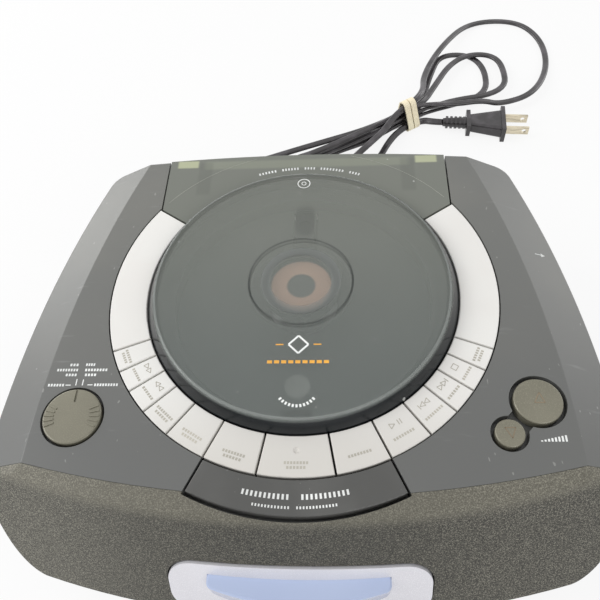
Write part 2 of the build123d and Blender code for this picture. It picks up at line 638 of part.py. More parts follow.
def selector_switch():
    top = POCKET_Z - POCKET_T
    switch = rod(KNOB_X, KNOB_Y, 10, top - 8, top)
    return switch - rod(KNOB_X, KNOB_Y, KNOB_SHAFT_R + SHAFT_CLEAR, top - 7.5, HIGH)


def key_board():
    ring = sector(KEY_IN_R + 1.8, KEY_OUT_R - 1.5, -74, 74, 0)
    ring += sector(KEY_OUT_R - 7.5, REPEAT_STEM_R + 5.5, -9, 9, 0)
    return slab(ring, KEY_BOARD_Z, KEY_BOARD_Z + BOARD_T)


def key_switches():
    top = KEY_BOARD_Z + BOARD_T
    radius = (KEY_IN_R + KEY_OUT_R) / 2
    switches = [Rot(0, 0, (a0 + a1) / 2) * push_switch(0, -radius, top, SWITCH_TOP) for a0, a1 in stems()]
    return switches + [push_switch(0, -REPEAT_STEM_R, top, SWITCH_TOP)]


# Disc player

def turntable():
    low = PLATTER_Z - PLATTER_T
    hub = rod(0, 0, HUB_R, PLATTER_Z, PLATTER_Z + HUB_H)
    hub = chamfer(hub.edges().group_by(Axis.Z)[-1], 1.5)
    table = rod(0, 0, PLATTER_R, low, PLATTER_Z) + hub + rod(0, 0, 5, CHASSIS_Z + CHASSIS_T + 2, low)
    return table + rod(0, 0, 1, CHASSIS_Z - MOTOR_H + 3, low)


def spindle_motor():
    can = rod(0, 0, MOTOR_R, CHASSIS_Z - MOTOR_H, CHASSIS_Z)
    can = fillet(can.edges().group_by(Axis.Z)[0], 1.5)
    return can - rod(0, 0, 1 + SHAFT_CLEAR, CHASSIS_Z - MOTOR_H + 2.5, HIGH)


def player_chassis():
    top = CHASSIS_Z + CHASSIS_T
    end = SLED_Y + 16
    plate = block(-42, 44, -30, end, CHASSIS_Z, top) - rod(0, 0, 6, 0, HIGH)
    plate -= block(-14, 14, 13.5, end - 5, 0, HIGH)
    for x in (-RAIL_X, RAIL_X):
        for y in (9, end - 4.5):
            plate += block(x - 3, x + 3, y, y + 4, RAIL_Z - 3, CHASSIS_Z)
        plate -= rod_y(x, RAIL_Z, RAIL_R + 0.02, 8, end)
    px = pinion_x()
    low = RAIL_Z - 6
    plate += block(px - 9, px + 9.5, PINION_Y - 9, PINION_Y + 9, low, low + 1.5)
    plate += block(px + 8, px + 9.5, PINION_Y - 9, PINION_Y + 9, low, CHASSIS_Z)
    return plate - rod(px, PINION_Y, 1 + SHAFT_CLEAR, 0, HIGH)


def dampers():
    return [rod(x, y, DAMPER_R, CHASSIS_Z + CHASSIS_T, WELL_FLOOR_Z - SHELF_T)
            for x in (-32, 32) for y in (-22, SLED_Y - 2)]


def sled_rails():
    return [rod_y(x, RAIL_Z, RAIL_R, 9, SLED_Y + 15.5) for x in (-RAIL_X, RAIL_X)]


def pinion_x():
    return RACK_X + MODULE + MODULE * PINION_TEETH / 2


def laser_sled():
    pitch = math.pi * MODULE
    y = SLED_Y
    turret = Pos(0, y) * RectangleRounded(2 * TURRET_HALF_W, 2 * TURRET_HALF_L, 2.5)
    shoulder_z, top = WELL_FLOOR_Z - 4, WELL_FLOOR_Z + 1.5
    rack_z0, rack_z1 = RAIL_Z - PINION_T / 2, RAIL_Z + PINION_T / 2
    sled = block(-12, 12, y - 9, y + 9, RAIL_Z - 3, shoulder_z) + slab(turret, shoulder_z, top)
    sled -= rod(0, y, 3.2, top - 0.5, HIGH)
    sled += block(-RAIL_X - 4, RACK_X - 2, y - 8, y + 8, rack_z0 - 0.2, rack_z1 + 0.4)
    sled += block(RACK_X - 3, RACK_X, PINION_Y - 6, PINION_Y + SLED_TRAVEL + 6, rack_z0, rack_z1)
    for i in range(-2, 12):
        ty = PINION_Y + (i + 0.5) * pitch
        root, tip = RACK_X - 0.2, RACK_X + 2 * MODULE
        tooth = Polygon((root, ty - 0.8), (tip, ty - 0.25), (tip, ty + 0.25), (root, ty + 0.8), align=None)
        sled += slab(tooth, rack_z0, rack_z1)
    for x in (-RAIL_X, RAIL_X):
        sled -= rod_y(x, RAIL_Z, RAIL_R + SHAFT_CLEAR, 0, FAR)
    return sled


def sled_pinion():
    root = MODULE * (PINION_TEETH / 2 - 1.15)
    tip = MODULE * (PINION_TEETH / 2 + 0.85)
    gear = Circle(root)
    for i in range(PINION_TEETH):
        tooth = Polygon((root - 0.3, -0.85), (tip, -0.25), (tip, 0.25), (root - 0.3, 0.85), align=None)
        gear += Rot(0, 0, 360 * i / PINION_TEETH) * tooth
    wheel = slab(gear, -PINION_T / 2, PINION_T / 2) + rod(0, 0, 1, -15, 4)
    return Pos(pinion_x(), PINION_Y, RAIL_Z) * wheel


def sled_motor():
    can = rod(0, 0, 7.5, -18, -6) - rod(0, 0, 1 + SHAFT_CLEAR, -15.5, 0)
    return Pos(pinion_x(), PINION_Y, RAIL_Z) * can


# Inside the casings

def tuner_place():
    """The wheel's axis lies square inside the right flank, so that its rim stands out by TUNER_OUT."""
    reach = SIDE_R + TUNER_OUT - TUNER_R
    lean = math.asin((TUNER_Y - SIDE_MID_Y) / reach)
    return Pos(HALF_WIDTH - SIDE_R + reach * math.cos(lean), TUNER_Y, 0) * Rot(0, 0, math.degrees(lean))


def tuning_wheel():
    ridges = 60
    points = []
    for i in range(2 * ridges):
        r = TUNER_R if i % 2 == 0 else TUNER_R - 0.6
        a = math.pi * i / ridges
        points.append((r * math.cos(a), r * math.sin(a)))
    wheel = slab(Polygon(*points, align=None), TUNER_Z, TUNER_Z + TUNER_T)
    wheel -= rod(0, 0, TUNER_R - 4, TUNER_Z + 3, HIGH)
    wheel += rod(0, 0, 5, TUNER_Z, TUNER_Z + TUNER_T) + rod(0, 0, 2, TUNER_Z - 8, TUNER_Z + 1)
    return tuner_place() * wheel


def tuning_capacitor():
    can = block(-9, 9, -9, 9, TUNER_Z - 14, TUNER_Z - 2) - rod(0, 0, 2 + SHAFT_CLEAR, TUNER_Z - 10, HIGH)
    return tuner_place() * can


def speaker_baffle():
    plate = block(-EDGE_HALF, EDGE_HALF, BAFFLE_Y, BAFFLE_Y + WALL, FLOOR_Z, BAFFLE_TOP)
    for side in (-1, 1):
        plate -= rod_y(side * SPEAKER_X, SPEAKER_Z, SPEAKER_R - 3.5, BAFFLE_Y - 5, BAFFLE_Y + 5)
    return plate


def speaker(side):
    """A frame, a basket that narrows to the magnet, and a paper cone sunk in the front."""
    up = Align.CENTER, Align.CENTER, Align.MIN
    unit = Cylinder(SPEAKER_R, 2, align=up)
    unit += Pos(0, 0, 2) * Cone(SPEAKER_R - 4, 17, 17, align=up)
    unit += Pos(0, 0, 19) * Cylinder(17.5, 11, align=up)
    unit -= Cone(SPEAKER_R - 5, 9, 12, align=up)
    unit += Pos(0, 0, 8) * Cylinder(9.5, 5, align=up)
    return Pos(side * SPEAKER_X, BAFFLE_Y - 2, SPEAKER_Z) * Rot(-90, 0, 0) * unit


def display_module():
    back = DISPLAY_Y + DISPLAY_T
    low, high = LENS_BASE_Z, LENS_TOP_Z
    module = block(2.5 - LENS_HALF, LENS_HALF - 2.5, DISPLAY_Y, back, low + 1.5, high + 1)
    module += block(-LENS_HALF - 2.5, LENS_HALF + 2.5, back, back + BOARD_T, low - 2.5, high + 3)
    for x in (1.5 - LENS_HALF, LENS_HALF - 1.5):
        for z in (low + 0.5, high):
            module += rod_y(x, z, 2.5, back, BAFFLE_Y)
    return module


def main_board():
    top = MAIN_BOARD_Z + BOARD_T
    board = block(MAIN_X0, MAIN_X1, MAIN_Y0, MAIN_Y1, MAIN_BOARD_Z, top)
    board += block(-40, -36, -20, 16, top, top + 18)
    capacitors = ((-22, -12, 5, 14), (-22, 6, 5, 14), (40, -30, 4, 10), (52, -30, 4, 10), (50, 14, 3, 8))
    for x, y, radius, height in capacitors:
        board += rod(x, y, radius, top, top + height)
    for x, y, w, d in ((0, -10, 26, 10), (24, 12, 16, 10), (10, -36, 18, 8)):
        board += block(x, x + w, y, y + d, top, top + 3)
    return board


def transformer():
    x, y, z = 54.5 - HALF_WIDTH, REAR_REACH - 47, FLOOR_Z
    core = block(x - 23, x + 23, y - 10, y + 10, z, z + 38)
    coil = block(x - 14, x + 14, y - 17, y + 17, z + 7, z + 31)
    return core + fillet(coil.edges().filter_by(Axis.Z), 4) + block(x - 26, x + 26, y - 5, y + 5, z, z + 2)


def ferrite_aerial():
    roof = BATTERY_ROOF_Z + BATTERY_WALL
    y, z = REAR_REACH - 19, roof + 9
    aerial = rod_x(y, z, 4.5, BATTERY_X0 - 4, BATTERY_X1 + 4)
    aerial += rod_x(y, z, 6, BATTERY_X0 + 22, BATTERY_X1 - 12)
    for x in (BATTERY_X0 + 4, BATTERY_X1 - 8):
        aerial += block(x, x + 5, y - 4, y + 4, roof, z)
    return aerial


def battery_contacts():
    x, y = (BATTERY_X0 + BATTERY_X1) / 2, BATTERY_Y0 + BATTERY_WALL
    z = (FLOOR_Z + BATTERY_ROOF_Z) / 2
    return [rod_y(x - 7, z, 4, y, y + 2), rod_y(x + 7, z, 3, y, y + 2)]


def screws():
    shank = [rod(x, y, SCREW_R, SCREW_SEAT_Z, SCREW_TIP_Z) for x, y in BOSSES]
    head = [rod(x, y, SCREW_HEAD_R, SCREW_SEAT_Z - 2.4, SCREW_SEAT_Z) for x, y in BOSSES]
    slot = [block(x - 0.4, x + 0.4, y - 2, y + 2, 0, SCREW_SEAT_Z - 1.4) for x, y in BOSSES]
    return [s + h - c for s, h, c in zip(shank, head, slot)]


def feet():
    pads = [rod(x, y, FOOT_R, 0, FOOT_H) for x, y in FEET]
    return [fillet(p.edges().group_by(Axis.Z)[0], 0.8) for p in pads]


def cord_gland():
    """Strain relief: a flange inside, a neck through the wall and a ribbed taper outside."""
    y0 = REAR_REACH - 1.8
    end = REAR_REACH + GLAND_END_Y - SHEET_REAR_Y
    gland = rod_y(0, 0, 6, y0 - 7, y0 - 4.9) + rod_y(0, 0, 4, y0 - 4.9, y0)
    taper = Cone(5.2, 3, end - y0, align=(Align.CENTER, Align.CENTER, Align.MIN))
    gland += Pos(0, y0, 0) * Rot(-90, 0, 0) * taper
    for i in range(5):
        gland += rod_y(0, 0, 5.3 - 0.35 * i, y0 + 4 + 3.6 * i, y0 + 5.6 + 3.6 * i)
    return Pos(GLAND_X, 0, GLAND_Z) * gland


# Cord

def direction(degrees):
    return Vector(math.cos(math.radians(degrees)), math.sin(math.radians(degrees)), 0)


def biarc(start, start_dir, end, end_dir):
    """Two arcs that leave start and reach end in the given directions."""
    chord = end - start
    along = chord.dot(start_dir + end_dir)
    bend = 2 * (1 - start_dir.dot(end_dir))
    if bend < 1e-6:
        reach = chord.dot(chord) / (2 * along)
    else:
        reach = (math.sqrt(along * along + bend * chord.dot(chord)) - along) / bend
    middle = (start + end + (start_dir - end_dir) * reach) / 2
    first = TangentArc(start, middle, tangent=start_dir)
    return [first, TangentArc(middle, end, tangent=first % 1)]


def waist(across, layer):
    """A strand's place under the band: steps across, and layers up from the ground."""
    side = direction(BAND_TURN + 90) * (across * (CORD_D + CORD_GAP))
    return Vector(BAND_X, BAND_Y, WAIST_Z + layer * (CORD_D + CORD_GAP)) + side


def hank_stations():
    """Where the hank's tube passes, and its direction there: out on the upper side, back on the lower."""
    out, back = BAND_TURN, BAND_TURN + 180
    return [
        ((44.0, 207.0, 15.0), 50),
        (waist(0.0, 3), 43),
        ((92.0, 300.0, 9.5), 64), ((154.0, 362.0, 3.0), 0), ((186.0, 320.0, 3.0), -91),
        ((147.0, 251.5, 7.5), 202), ((118.0, 246.5, 12.8), 190),
        (waist(0.0, 2), back),
        ((3.0, 199.5, 12.5), 207), ((-65.0, 170.0, 10.5), 115), ((-35.0, 197.0, 8.5), 22),
        (waist(0.5, 1), out),
        ((101.0, 289.0, 7.5), 62), ((132.0, 313.0, 7.5), 0), ((149.0, 293.0, 7.5), -92),
        (waist(-0.5, 1), back),
        ((8.0, 202.0, 7.8), 207), ((-50.0, 176.0, 5.5), 115), ((-25.0, 197.5, 3.2), 22),
        (waist(0.5, 0), out),
        ((88.0, 281.0, 2.8), 74), ((114.0, 318.0, 2.8), 0), ((135.0, 288.0, 2.8), -95),
        (waist(-0.5, 0), back),
        ((26.0, 212.0, 3.0), 203), ((5.0, 192.0, 3.0), -70), ((26.0, 183.0, 3.0), 25),
        (waist(-1.5, 0) + direction(out) * 2.5, out),
        ((PLUG_X, PLUG_Y, PLUG_Z), PLUG_TURN),
    ]


def hank_edges():
    stations = [(Vector(*p) if isinstance(p, tuple) else p, direction(a)) for p, a in hank_stations()]
    edges = []
    for (p0, d0), (p1, d1) in zip(stations[:-1], stations[1:]):
        edges += biarc(p0, d0, p1, d1)
    return edges


def tube(edges):
    path = Wire(edges)
    section = Plane(origin=path @ 0, z_dir=path % 0) * Circle(CORD_D / 2)
    return path, sweep(section, path=path)


def self_gap(edges):
    """The least gap between stretches of the tube that are not neighbours, measured on points."""
    samples, run = [], 0.0
    for edge in edges:
        steps = max(4, int(edge.length / 1.5))
        samples += [(tuple(edge @ (i / steps)), run + edge.length * i / steps) for i in range(steps)]
        run += edge.length
    return min(math.dist(p, q) for i, (p, s) in enumerate(samples)
               for q, t in samples[i + 1:] if t - s > 6 * CORD_D) - CORD_D


LEAD = [
    (GLAND_X, GLAND_END_Y, GLAND_Z), (GLAND_X, GLAND_END_Y + 13, GLAND_Z), (-16.0, 163.0, 14.0),
    (-5.0, 174.0, 8.2), (10.0, 181.0, 7.8), (25.0, 188.0, 11.0), (36.3, 197.8, 15.0), (44.0, 207.0, 15.0),
]


def lead_radii():
    """Each bend takes 0.45 of its shorter run."""
    points = [Vector(*p) for p in LEAD]
    radii = []
    for a, b, c in zip(points[:-2], points[1:-1], points[2:]):
        half = math.radians((b - a).get_angle(c - b)) / 2
        radii.append(0.45 * min((b - a).length, (c - b).length) / math.tan(half))
    return radii


def band_loops():
    """Two rubber turns drawn tight round the strands."""
    spots = [(0, 3, 1.3), (0, 2, 0.5), (0.5, 1, 0.5), (-0.5, 1, 0.5), (0.5, 0, 0.5), (-0.5, 0, 0.5), (-1.5, 0, 0.8)]
    pitch = CORD_D + CORD_GAP
    rounds = [Pos(a * pitch, WAIST_Z + n * pitch) * Circle(CORD_D / 2 + room) for a, n, room in spots]
    hull = make_hull([e for r in rounds for e in r.edges()])
    ring = offset(hull, amount=BAND_T) - hull
    across = direction(BAND_TURN + 90)
    loops = []
    for along in (-BAND_W - 0.4, 0.4):
        corner = Vector(BAND_X, BAND_Y, 0) + direction(BAND_TURN) * along
        place = Plane(origin=corner, x_dir=across, z_dir=direction(BAND_TURN))
        loops.append(extrude(place * ring, BAND_W))
    return loops


def plug_place():
    return Pos(PLUG_X, PLUG_Y, PLUG_Z) * Rot(0, 0, PLUG_TURN)


def plug():
    """A ribbed neck, a collar, and a grip that widens to the flange before the blades, along X."""
    up = Align.CENTER, Align.CENTER, Align.MIN
    neck = Rot(0, 90, 0) * Cone(3.0, 4.2, NECK_LENGTH, align=up)
    for i in range(5):
        neck += Pos(2 + 3.2 * i, 0, 0) * Rot(0, 90, 0) * Cylinder(4.5, 1.7, align=up)
    x0, x1 = NECK_LENGTH + 1, PLUG_LENGTH - 2
    narrow = Plane.YZ.offset(x0) * RectangleRounded(12, 8, 2)
    wide = Plane.YZ.offset(x1) * RectangleRounded(FLANGE_W - 3, FLANGE_H - 2, 3)
    grip = loft([narrow, wide], ruled=True)
    grip += block(NECK_LENGTH - 1, x0 + 1, -9, 9, -4.8, 4.8)
    grip += block(PLUG_LENGTH - 3, PLUG_LENGTH, -FLANGE_W / 2, FLANGE_W / 2, -FLANGE_H / 2, FLANGE_H / 2)
    return plug_place() * (neck + grip)


def plug_blades():
    blades = []
    for side in (-1, 1):
        y = side * BLADE_SPACING / 2
        blade = block(0, BLADE_LENGTH, y - BLADE_T / 2, y + BLADE_T / 2, -3.2, 3.2)
        blade -= rod_y(BLADE_LENGTH - 3.5, 0, 1.6, y - 2, y + 2)
        blades.append(plug_place() * Pos(PLUG_LENGTH, 0, 0) * blade)
    return blades


# Assembly

def build():
    form = body(0, LIP_Z + SEAM / 2)
    outer = soften(form)
    PARTS["bottom_case"] = bottom_case()
    PARTS["top_case"] = top_case(outer)
    PARTS["front_grille"] = front_grille(outer)
    PARTS["display_bezel"] = display_bezel()
    PARTS["display_lens"] = display_lens()
    PARTS["display_module"] = display_module()
    PARTS["disc_lid"] = disc_lid()
    PARTS["disc_clamper"] = disc_clamper()
    PARTS["hinge_pins"] = hinge_pins()
    PARTS["lid_latch"] = lid_latch()
    PARTS["disc_deck"] = disc_deck()
    PARTS["trim_left"] = trim(-1)
    PARTS["trim_right"] = trim(1)
    for number, (a0, a1) in enumerate(stems(), 1):
        PARTS[f"ring_key_{number:02d}"] = ring_key(a0, a1)
    PARTS["repeat_key"] = repeat_key()
    PARTS["key_board"] = key_board()
    PARTS["key_switches"] = key_switches()
    PARTS["selector_knob"] = selector_knob()
    PARTS["selector_switch"] = selector_switch()
    PARTS["volume_up_button"] = volume_button(UP_X, UP_Y, UP_R)
    PARTS["volume_down_button"] = volume_button(DOWN_X, DOWN_Y, DOWN_R)
    PARTS["volume_board"] = volume_board()
    PARTS["turntable"] = turntable()
    PARTS["spindle_motor"] = spindle_motor()
    PARTS["player_chassis"] = player_chassis()
    PARTS["rubber_dampers"] = dampers()
    PARTS["sled_rails"] = sled_rails()
    PARTS["laser_sled"] = laser_sled()
    PARTS["sled_pinion"] = sled_pinion()
    PARTS["sled_motor"] = sled_motor()
    PARTS["tuning_wheel"] = tuning_wheel()
    PARTS["tuning_capacitor"] = tuning_capacitor()
    PARTS["speaker_baffle"] = speaker_baffle()
    PARTS["speaker_left"] = speaker(-1)
    PARTS["speaker_right"] = speaker(1)
    PARTS["main_board"] = main_board()
    PARTS["transformer"] = transformer()
    PARTS["ferrite_aerial"] = ferrite_aerial()
    PARTS["battery_door"] = battery_door()
    PARTS["battery_contacts"] = battery_contacts()
    PARTS["case_screws"] = screws()
    PARTS["rubber_feet"] = feet()
    PARTS["cord_gland"] = cord_gland()


def build_cord():
    edges = hank_edges()
    hank_path, hank = tube(edges)
    radii = lead_radii()
    lead_path = FilletPolyline(*LEAD, radius=radii)
    section = Plane(origin=lead_path @ 0, z_dir=lead_path % 0) * Circle(CORD_D / 2)
    lead = sweep(section, path=lead_path)
    area = math.pi * CORD_D ** 2 / 4
    print("lead bends", [round(r, 1) for r in radii])
    print("lead length", round(lead_path.length, 1), "volume over section", round(lead.volume / area, 1))
    print("hank length", round(hank_path.length, 1), "volume over section", round(hank.volume / area, 1))
    print("hank least bend", round(min(e.radius for e in edges if e.geom_type == GeomType.CIRCLE), 1))
    print("hank least gap", round(self_gap(edges), 2))
    PARTS["cord_lead"] = lead
    PARTS["cord_hank"] = hank
    PARTS["cord_band"] = band_loops()
    PARTS["cord_plug"] = plug()
    PARTS["plug_blades"] = plug_blades()


def save():
    os.makedirs("parts", exist_ok=True)
    rear_y = DECK_Y + REAR_REACH
    for name, piece in PARTS.items():
        place = Pos(0, rear_y - SHEET_REAR_Y, 0) if name in CORD_PARTS else Pos(0, DECK_Y, 0)
        solids = [place * s for s in (piece if isinstance(piece, list) else [piece])]
        shape = solids[0] if len(solids) == 1 else Compound([part for s in solids for part in s.solids()])
        export_step(shape, f"parts/{name}.step")


build()
build_cord()
save()
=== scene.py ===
import math

import bpy
from mathutils import Matrix, Vector


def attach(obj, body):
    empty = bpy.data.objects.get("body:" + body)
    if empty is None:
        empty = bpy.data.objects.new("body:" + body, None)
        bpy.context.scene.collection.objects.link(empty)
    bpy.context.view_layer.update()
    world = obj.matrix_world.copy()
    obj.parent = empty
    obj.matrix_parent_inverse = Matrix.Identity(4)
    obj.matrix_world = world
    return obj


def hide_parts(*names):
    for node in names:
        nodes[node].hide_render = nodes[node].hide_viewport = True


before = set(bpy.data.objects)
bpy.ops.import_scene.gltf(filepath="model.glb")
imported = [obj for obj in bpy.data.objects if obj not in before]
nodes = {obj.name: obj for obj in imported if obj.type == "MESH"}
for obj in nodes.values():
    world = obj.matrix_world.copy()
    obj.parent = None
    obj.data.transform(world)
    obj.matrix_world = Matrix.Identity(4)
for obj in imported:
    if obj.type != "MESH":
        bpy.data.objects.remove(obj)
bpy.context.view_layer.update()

MM = 0.001

# The body's own measures, in millimetres and degrees
DECK_Y = 22.8            # the disc's axis, from the middle of the body
TOP = 90.0
LID_TOP = 97.7
LID_CROWN = 1.2
RIM_R = 70.2
SPOT_Y = DECK_Y - 55.0   # the place on the lid that is pushed to open it
KEY_SPLITS = [10.2, 24.9, 37.05, 46.6, 54.4, 61.5, 68.7]
VOLUME_RISE = 0.8
SIDE_R, SIDE_MID_Y, HALF_WIDTH = 551.4, -85.2, 136.5     # long arc of each flank
FACET_W, FACET_DROP = 20.8, 9.0
PRINT_H = 0.05           # how far a printed mark stands above its surface


# Camera, at the photograph's angle

CAMERA_AT = Vector((0.020896, -0.158049, 0.349943))
CAMERA_RIGHT = Vector((0.9976, 0.0282, -0.0636))
CAMERA_FORWARD = Vector((-0.06849, 0.55586, -0.82845))
FOCAL_PIXELS = 660.62
FRAME_PIXELS = 600.0
SENSOR_W = 36.0
NEAREST = 0.01


def add_camera():
    data = bpy.data.cameras.new("camera")
    data.sensor_width = SENSOR_W
    data.lens = SENSOR_W * FOCAL_PIXELS / FRAME_PIXELS
    data.clip_start = NEAREST
    camera = bpy.data.objects.new("camera", data)
    back = -CAMERA_FORWARD.normalized()
    right = (CAMERA_RIGHT - back * CAMERA_RIGHT.dot(back)).normalized()
    up = back.cross(right)
    turn = Matrix((right, up, back)).transposed().to_4x4()
    camera.matrix_world = Matrix.Translation(CAMERA_AT) @ turn
    bpy.context.scene.collection.objects.link(camera)
    bpy.context.scene.camera = camera


add_camera()


# Materials. Places, radii and depths in them are in metres, and colours are 8-bit.

def srgb(r, g, b):
    """An 8-bit colour as the linear one that the shader takes."""
    return tuple((c / 255 / 12.92) if c / 255 <= 0.04045 else ((c / 255 + 0.055) / 1.055) ** 2.4
                 for c in (r, g, b)) + (1.0,)


def scaled(colour, factor):
    return tuple(min(255, c * factor) for c in colour)


class Finish:
    """A procedural material: a colour that varies over the surface, and the surface's fine height."""

    def __init__(self, name, colour, rough, metal=0.0, coat=0.0):
        self.material = bpy.data.materials.new(name)
        self.material.use_nodes = True
        self.tree = self.material.node_tree
        self.shader = self.tree.nodes["Principled BSDF"]
        self.shader.inputs["Metallic"].default_value = metal
        self.shader.inputs["Roughness"].default_value = rough
        self.shader.inputs["Coat Weight"].default_value = coat
        self.place = self.tree.nodes.new("ShaderNodeTexCoord").outputs["Object"]
        self.colour = self.tree.nodes.new("ShaderNodeRGB").outputs[0]
        self.colour.default_value = srgb(*colour)

    def link(self, a, b):
        self.tree.links.new(a, b)

    # Numbers over the surface

    def maths(self, operation, *values):
        node = self.tree.nodes.new("ShaderNodeMath")
        node.operation = operation
        for socket, value in zip(node.inputs, values):
            if isinstance(value, (int, float)):
                socket.default_value = value
            else:
                self.link(value, socket)
        return node.outputs[0]

    def plus(self, a, b):
        return self.maths("ADD", a, b)

    def minus(self, a, b):
        return self.maths("SUBTRACT", a, b)

    def times(self, a, b):
        return self.maths("MULTIPLY", a, b)

    def length(self, dx, dy):
        return self.maths("SQRT", self.plus(self.times(dx, dx), self.times(dy, dy)))

    def axis(self, name):
        node = self.tree.nodes.new("ShaderNodeSeparateXYZ")
        self.link(self.place, node.inputs[0])
        return node.outputs[name]

    def distance(self, x, y):
        """Distance from an upright line through a point given in millimetres."""
        return self.length(self.minus(self.axis("X"), x * MM), self.minus(self.axis("Y"), y * MM))

    def disc_radius(self):
        return self.distance(0.0, DECK_Y)

    def noise(self, scale, detail, stretch=None):
        """Noise of about scale waves to the metre, and closer along an axis where its stretch is more."""
        node = self.tree.nodes.new("ShaderNodeTexNoise")
        node.inputs["Scale"].default_value = scale
        node.inputs["Detail"].default_value = detail
        place = self.place
        if stretch:
            mapping = self.tree.nodes.new("ShaderNodeMapping")
            mapping.inputs["Scale"].default_value = stretch
            self.link(place, mapping.inputs["Vector"])
            place = mapping.outputs[0]
        self.link(place, node.inputs["Vector"])
        return node.outputs["Fac"]

    # Shares from 0 to 1

    def above(self, value, low, high):
        """0 below low, 1 above high, and smooth between."""
        node = self.tree.nodes.new("ShaderNodeMapRange")
        node.interpolation_type = "SMOOTHSTEP"
        node.inputs["From Min"].default_value = low
        node.inputs["From Max"].default_value = high
        self.link(value, node.inputs["Value"])
        return node.outputs[0]

    def below(self, value, low, high):
        """1 below low, 0 above high, and smooth between."""
        return self.minus(1.0, self.above(value, low, high))

    def ring(self, value, low, high, soft):
        """1 between low and high, and 0 outside."""
        outside = self.below(value, high, high + soft)
        return self.times(self.above(value, low - soft, low), outside)

    def patch(self, across, across_span, along, along_span):
        """1 inside a rectangle. Each span is its low side, its high side and how soft both are."""
        return self.times(self.ring(across, *across_span), self.ring(along, *along_span))

    # Layers

    def mix(self, share, colour):
        """Lays a colour over what is there, by a share."""
        node = self.tree.nodes.new("ShaderNodeMix")
        node.data_type = "RGBA"
        factor, under, over = node.inputs[0], node.inputs[6], node.inputs[7]
        self.link(share, factor)
        self.link(self.colour, under)
        over.default_value = srgb(*colour)
        self.colour = node.outputs[2]

    def tint(self, share, strength, colour):
        self.mix(self.times(share, strength), colour)

    def cloud(self, colour, scale, detail, low, high, stretch=None, strength=None):
        """Lays a colour where a noise is high."""
        share = self.above(self.noise(scale, detail, stretch), low, high)
        if strength is None:
            self.mix(share, colour)
        else:
            self.tint(share, strength, colour)

    def raise_by(self, value, depth):
        """Gives the surface its fine height."""
        bump = self.tree.nodes.new("ShaderNodeBump")
        bump.inputs["Distance"].default_value = 1.0
        self.link(self.times(value, depth), bump.inputs["Height"])
        self.link(bump.outputs[0], self.shader.inputs["Normal"])

    def grain(self, scale, detail, depth, stretch=None):
        self.raise_by(self.noise(scale, detail, stretch), depth)

    def done(self):
        self.link(self.colour, self.shader.inputs["Base Color"])
        return self.material


PALE_NICK = (205, 205, 200)
SOFT_CLOUD = (0.35, 0.7)                     # from what to what the noise of a faint cloud fades in
MOULD_SPARK = 2600.0                         # waves to the metre of a moulded surface's fine texture
INK_GRAIN = 0.000002


def moulded(name, colour, rough, grain=0.00001, lift=1.12, dust=None):
    """Moulded plastic: a faint cloudiness, a fine spark texture, and pale specks where it has dust."""
    finish = Finish(name, colour, rough)
    finish.cloud(scaled(colour, lift), 35.0, 3.0, *SOFT_CLOUD)
    finish.grain(MOULD_SPARK, 1.0, grain)
    if dust:
        finish.cloud(PALE_NICK, 800.0, 0.0, 0.84, 0.86, strength=dust)
    return finish.done()


def ivory():
    """The ring keys and trims, with painted shade that makes them darker and a little yellower to the front.
    """
    finish = Finish("white_keys", (235, 233, 229), 0.4)
    finish.cloud((238, 237, 233), 30.0, 3.0, *SOFT_CLOUD)
    # painted shade: the keys and trims darker towards the front
    finish.mix(finish.below(finish.axis("Y"), -0.070, -0.024), (215, 212, 206))
    finish.grain(MOULD_SPARK, 1.0, 0.000006)
    return finish.done()


def casing():
    """The dark casing: cloudy, with painted shade that makes it darker to the front, faint streaks and small
    nicks.
    """
    finish = Finish("casing_plastic", (111, 112, 109), 0.38)
    finish.cloud((120, 120, 115), 14.0, 3.0, 0.3, 0.75)
    # painted shade: the casing darker towards the front
    finish.tint(finish.below(finish.axis("Y"), -0.07, 0.07), 0.8, (98, 99, 98))
    finish.cloud((190, 192, 190), 60.0, 3.0, 0.64, 0.82, stretch=(1.0, 5.0, 1.0), strength=0.12)
    finish.cloud(PALE_NICK, 260.0, 0.0, 0.83, 0.86, stretch=(2.2, 1.0, 1.0), strength=0.24)
    finish.grain(2400.0, 1.0, 0.000018)
    return finish.done()


def speckle():
    """The front shell's flecked coat, with painted shade that makes it darker in the middle and to the
    right, and painted light that makes it paler at the left and at the fold.
    """
    pale_fleck, dark_fleck, shade = (146, 143, 130), (38, 36, 32), (48, 48, 44)
    finish = Finish("flecked_front", (80, 78, 71), 0.7)
    flecks = finish.noise(1900.0, 1.0)
    finish.mix(finish.above(flecks, 0.46, 0.62), pale_fleck)
    finish.cloud(dark_fleck, 1700.0, 1.0, 0.48, 0.62, stretch=(1.0, 1.0, 1.3))
    finish.tint(finish.noise(20.0, 2.0), 0.16, (100, 99, 92))
    # painted shade: darker to the right and in the middle
    finish.tint(finish.above(finish.axis("X"), -0.07, 0.0), 0.16, shade)
    finish.tint(finish.ring(finish.axis("X"), -0.06, 0.03, 0.06), 0.32, shade)
    # painted light: paler along the fold, whose face turns up, and at the left
    finish.tint(finish.above(finish.axis("Z"), 0.082, 0.088), 0.3, (150, 146, 130))
    finish.tint(finish.below(finish.axis("X"), -0.12, -0.02), 0.16, (150, 148, 138))
    finish.raise_by(flecks, 0.0002)
    return finish.done()


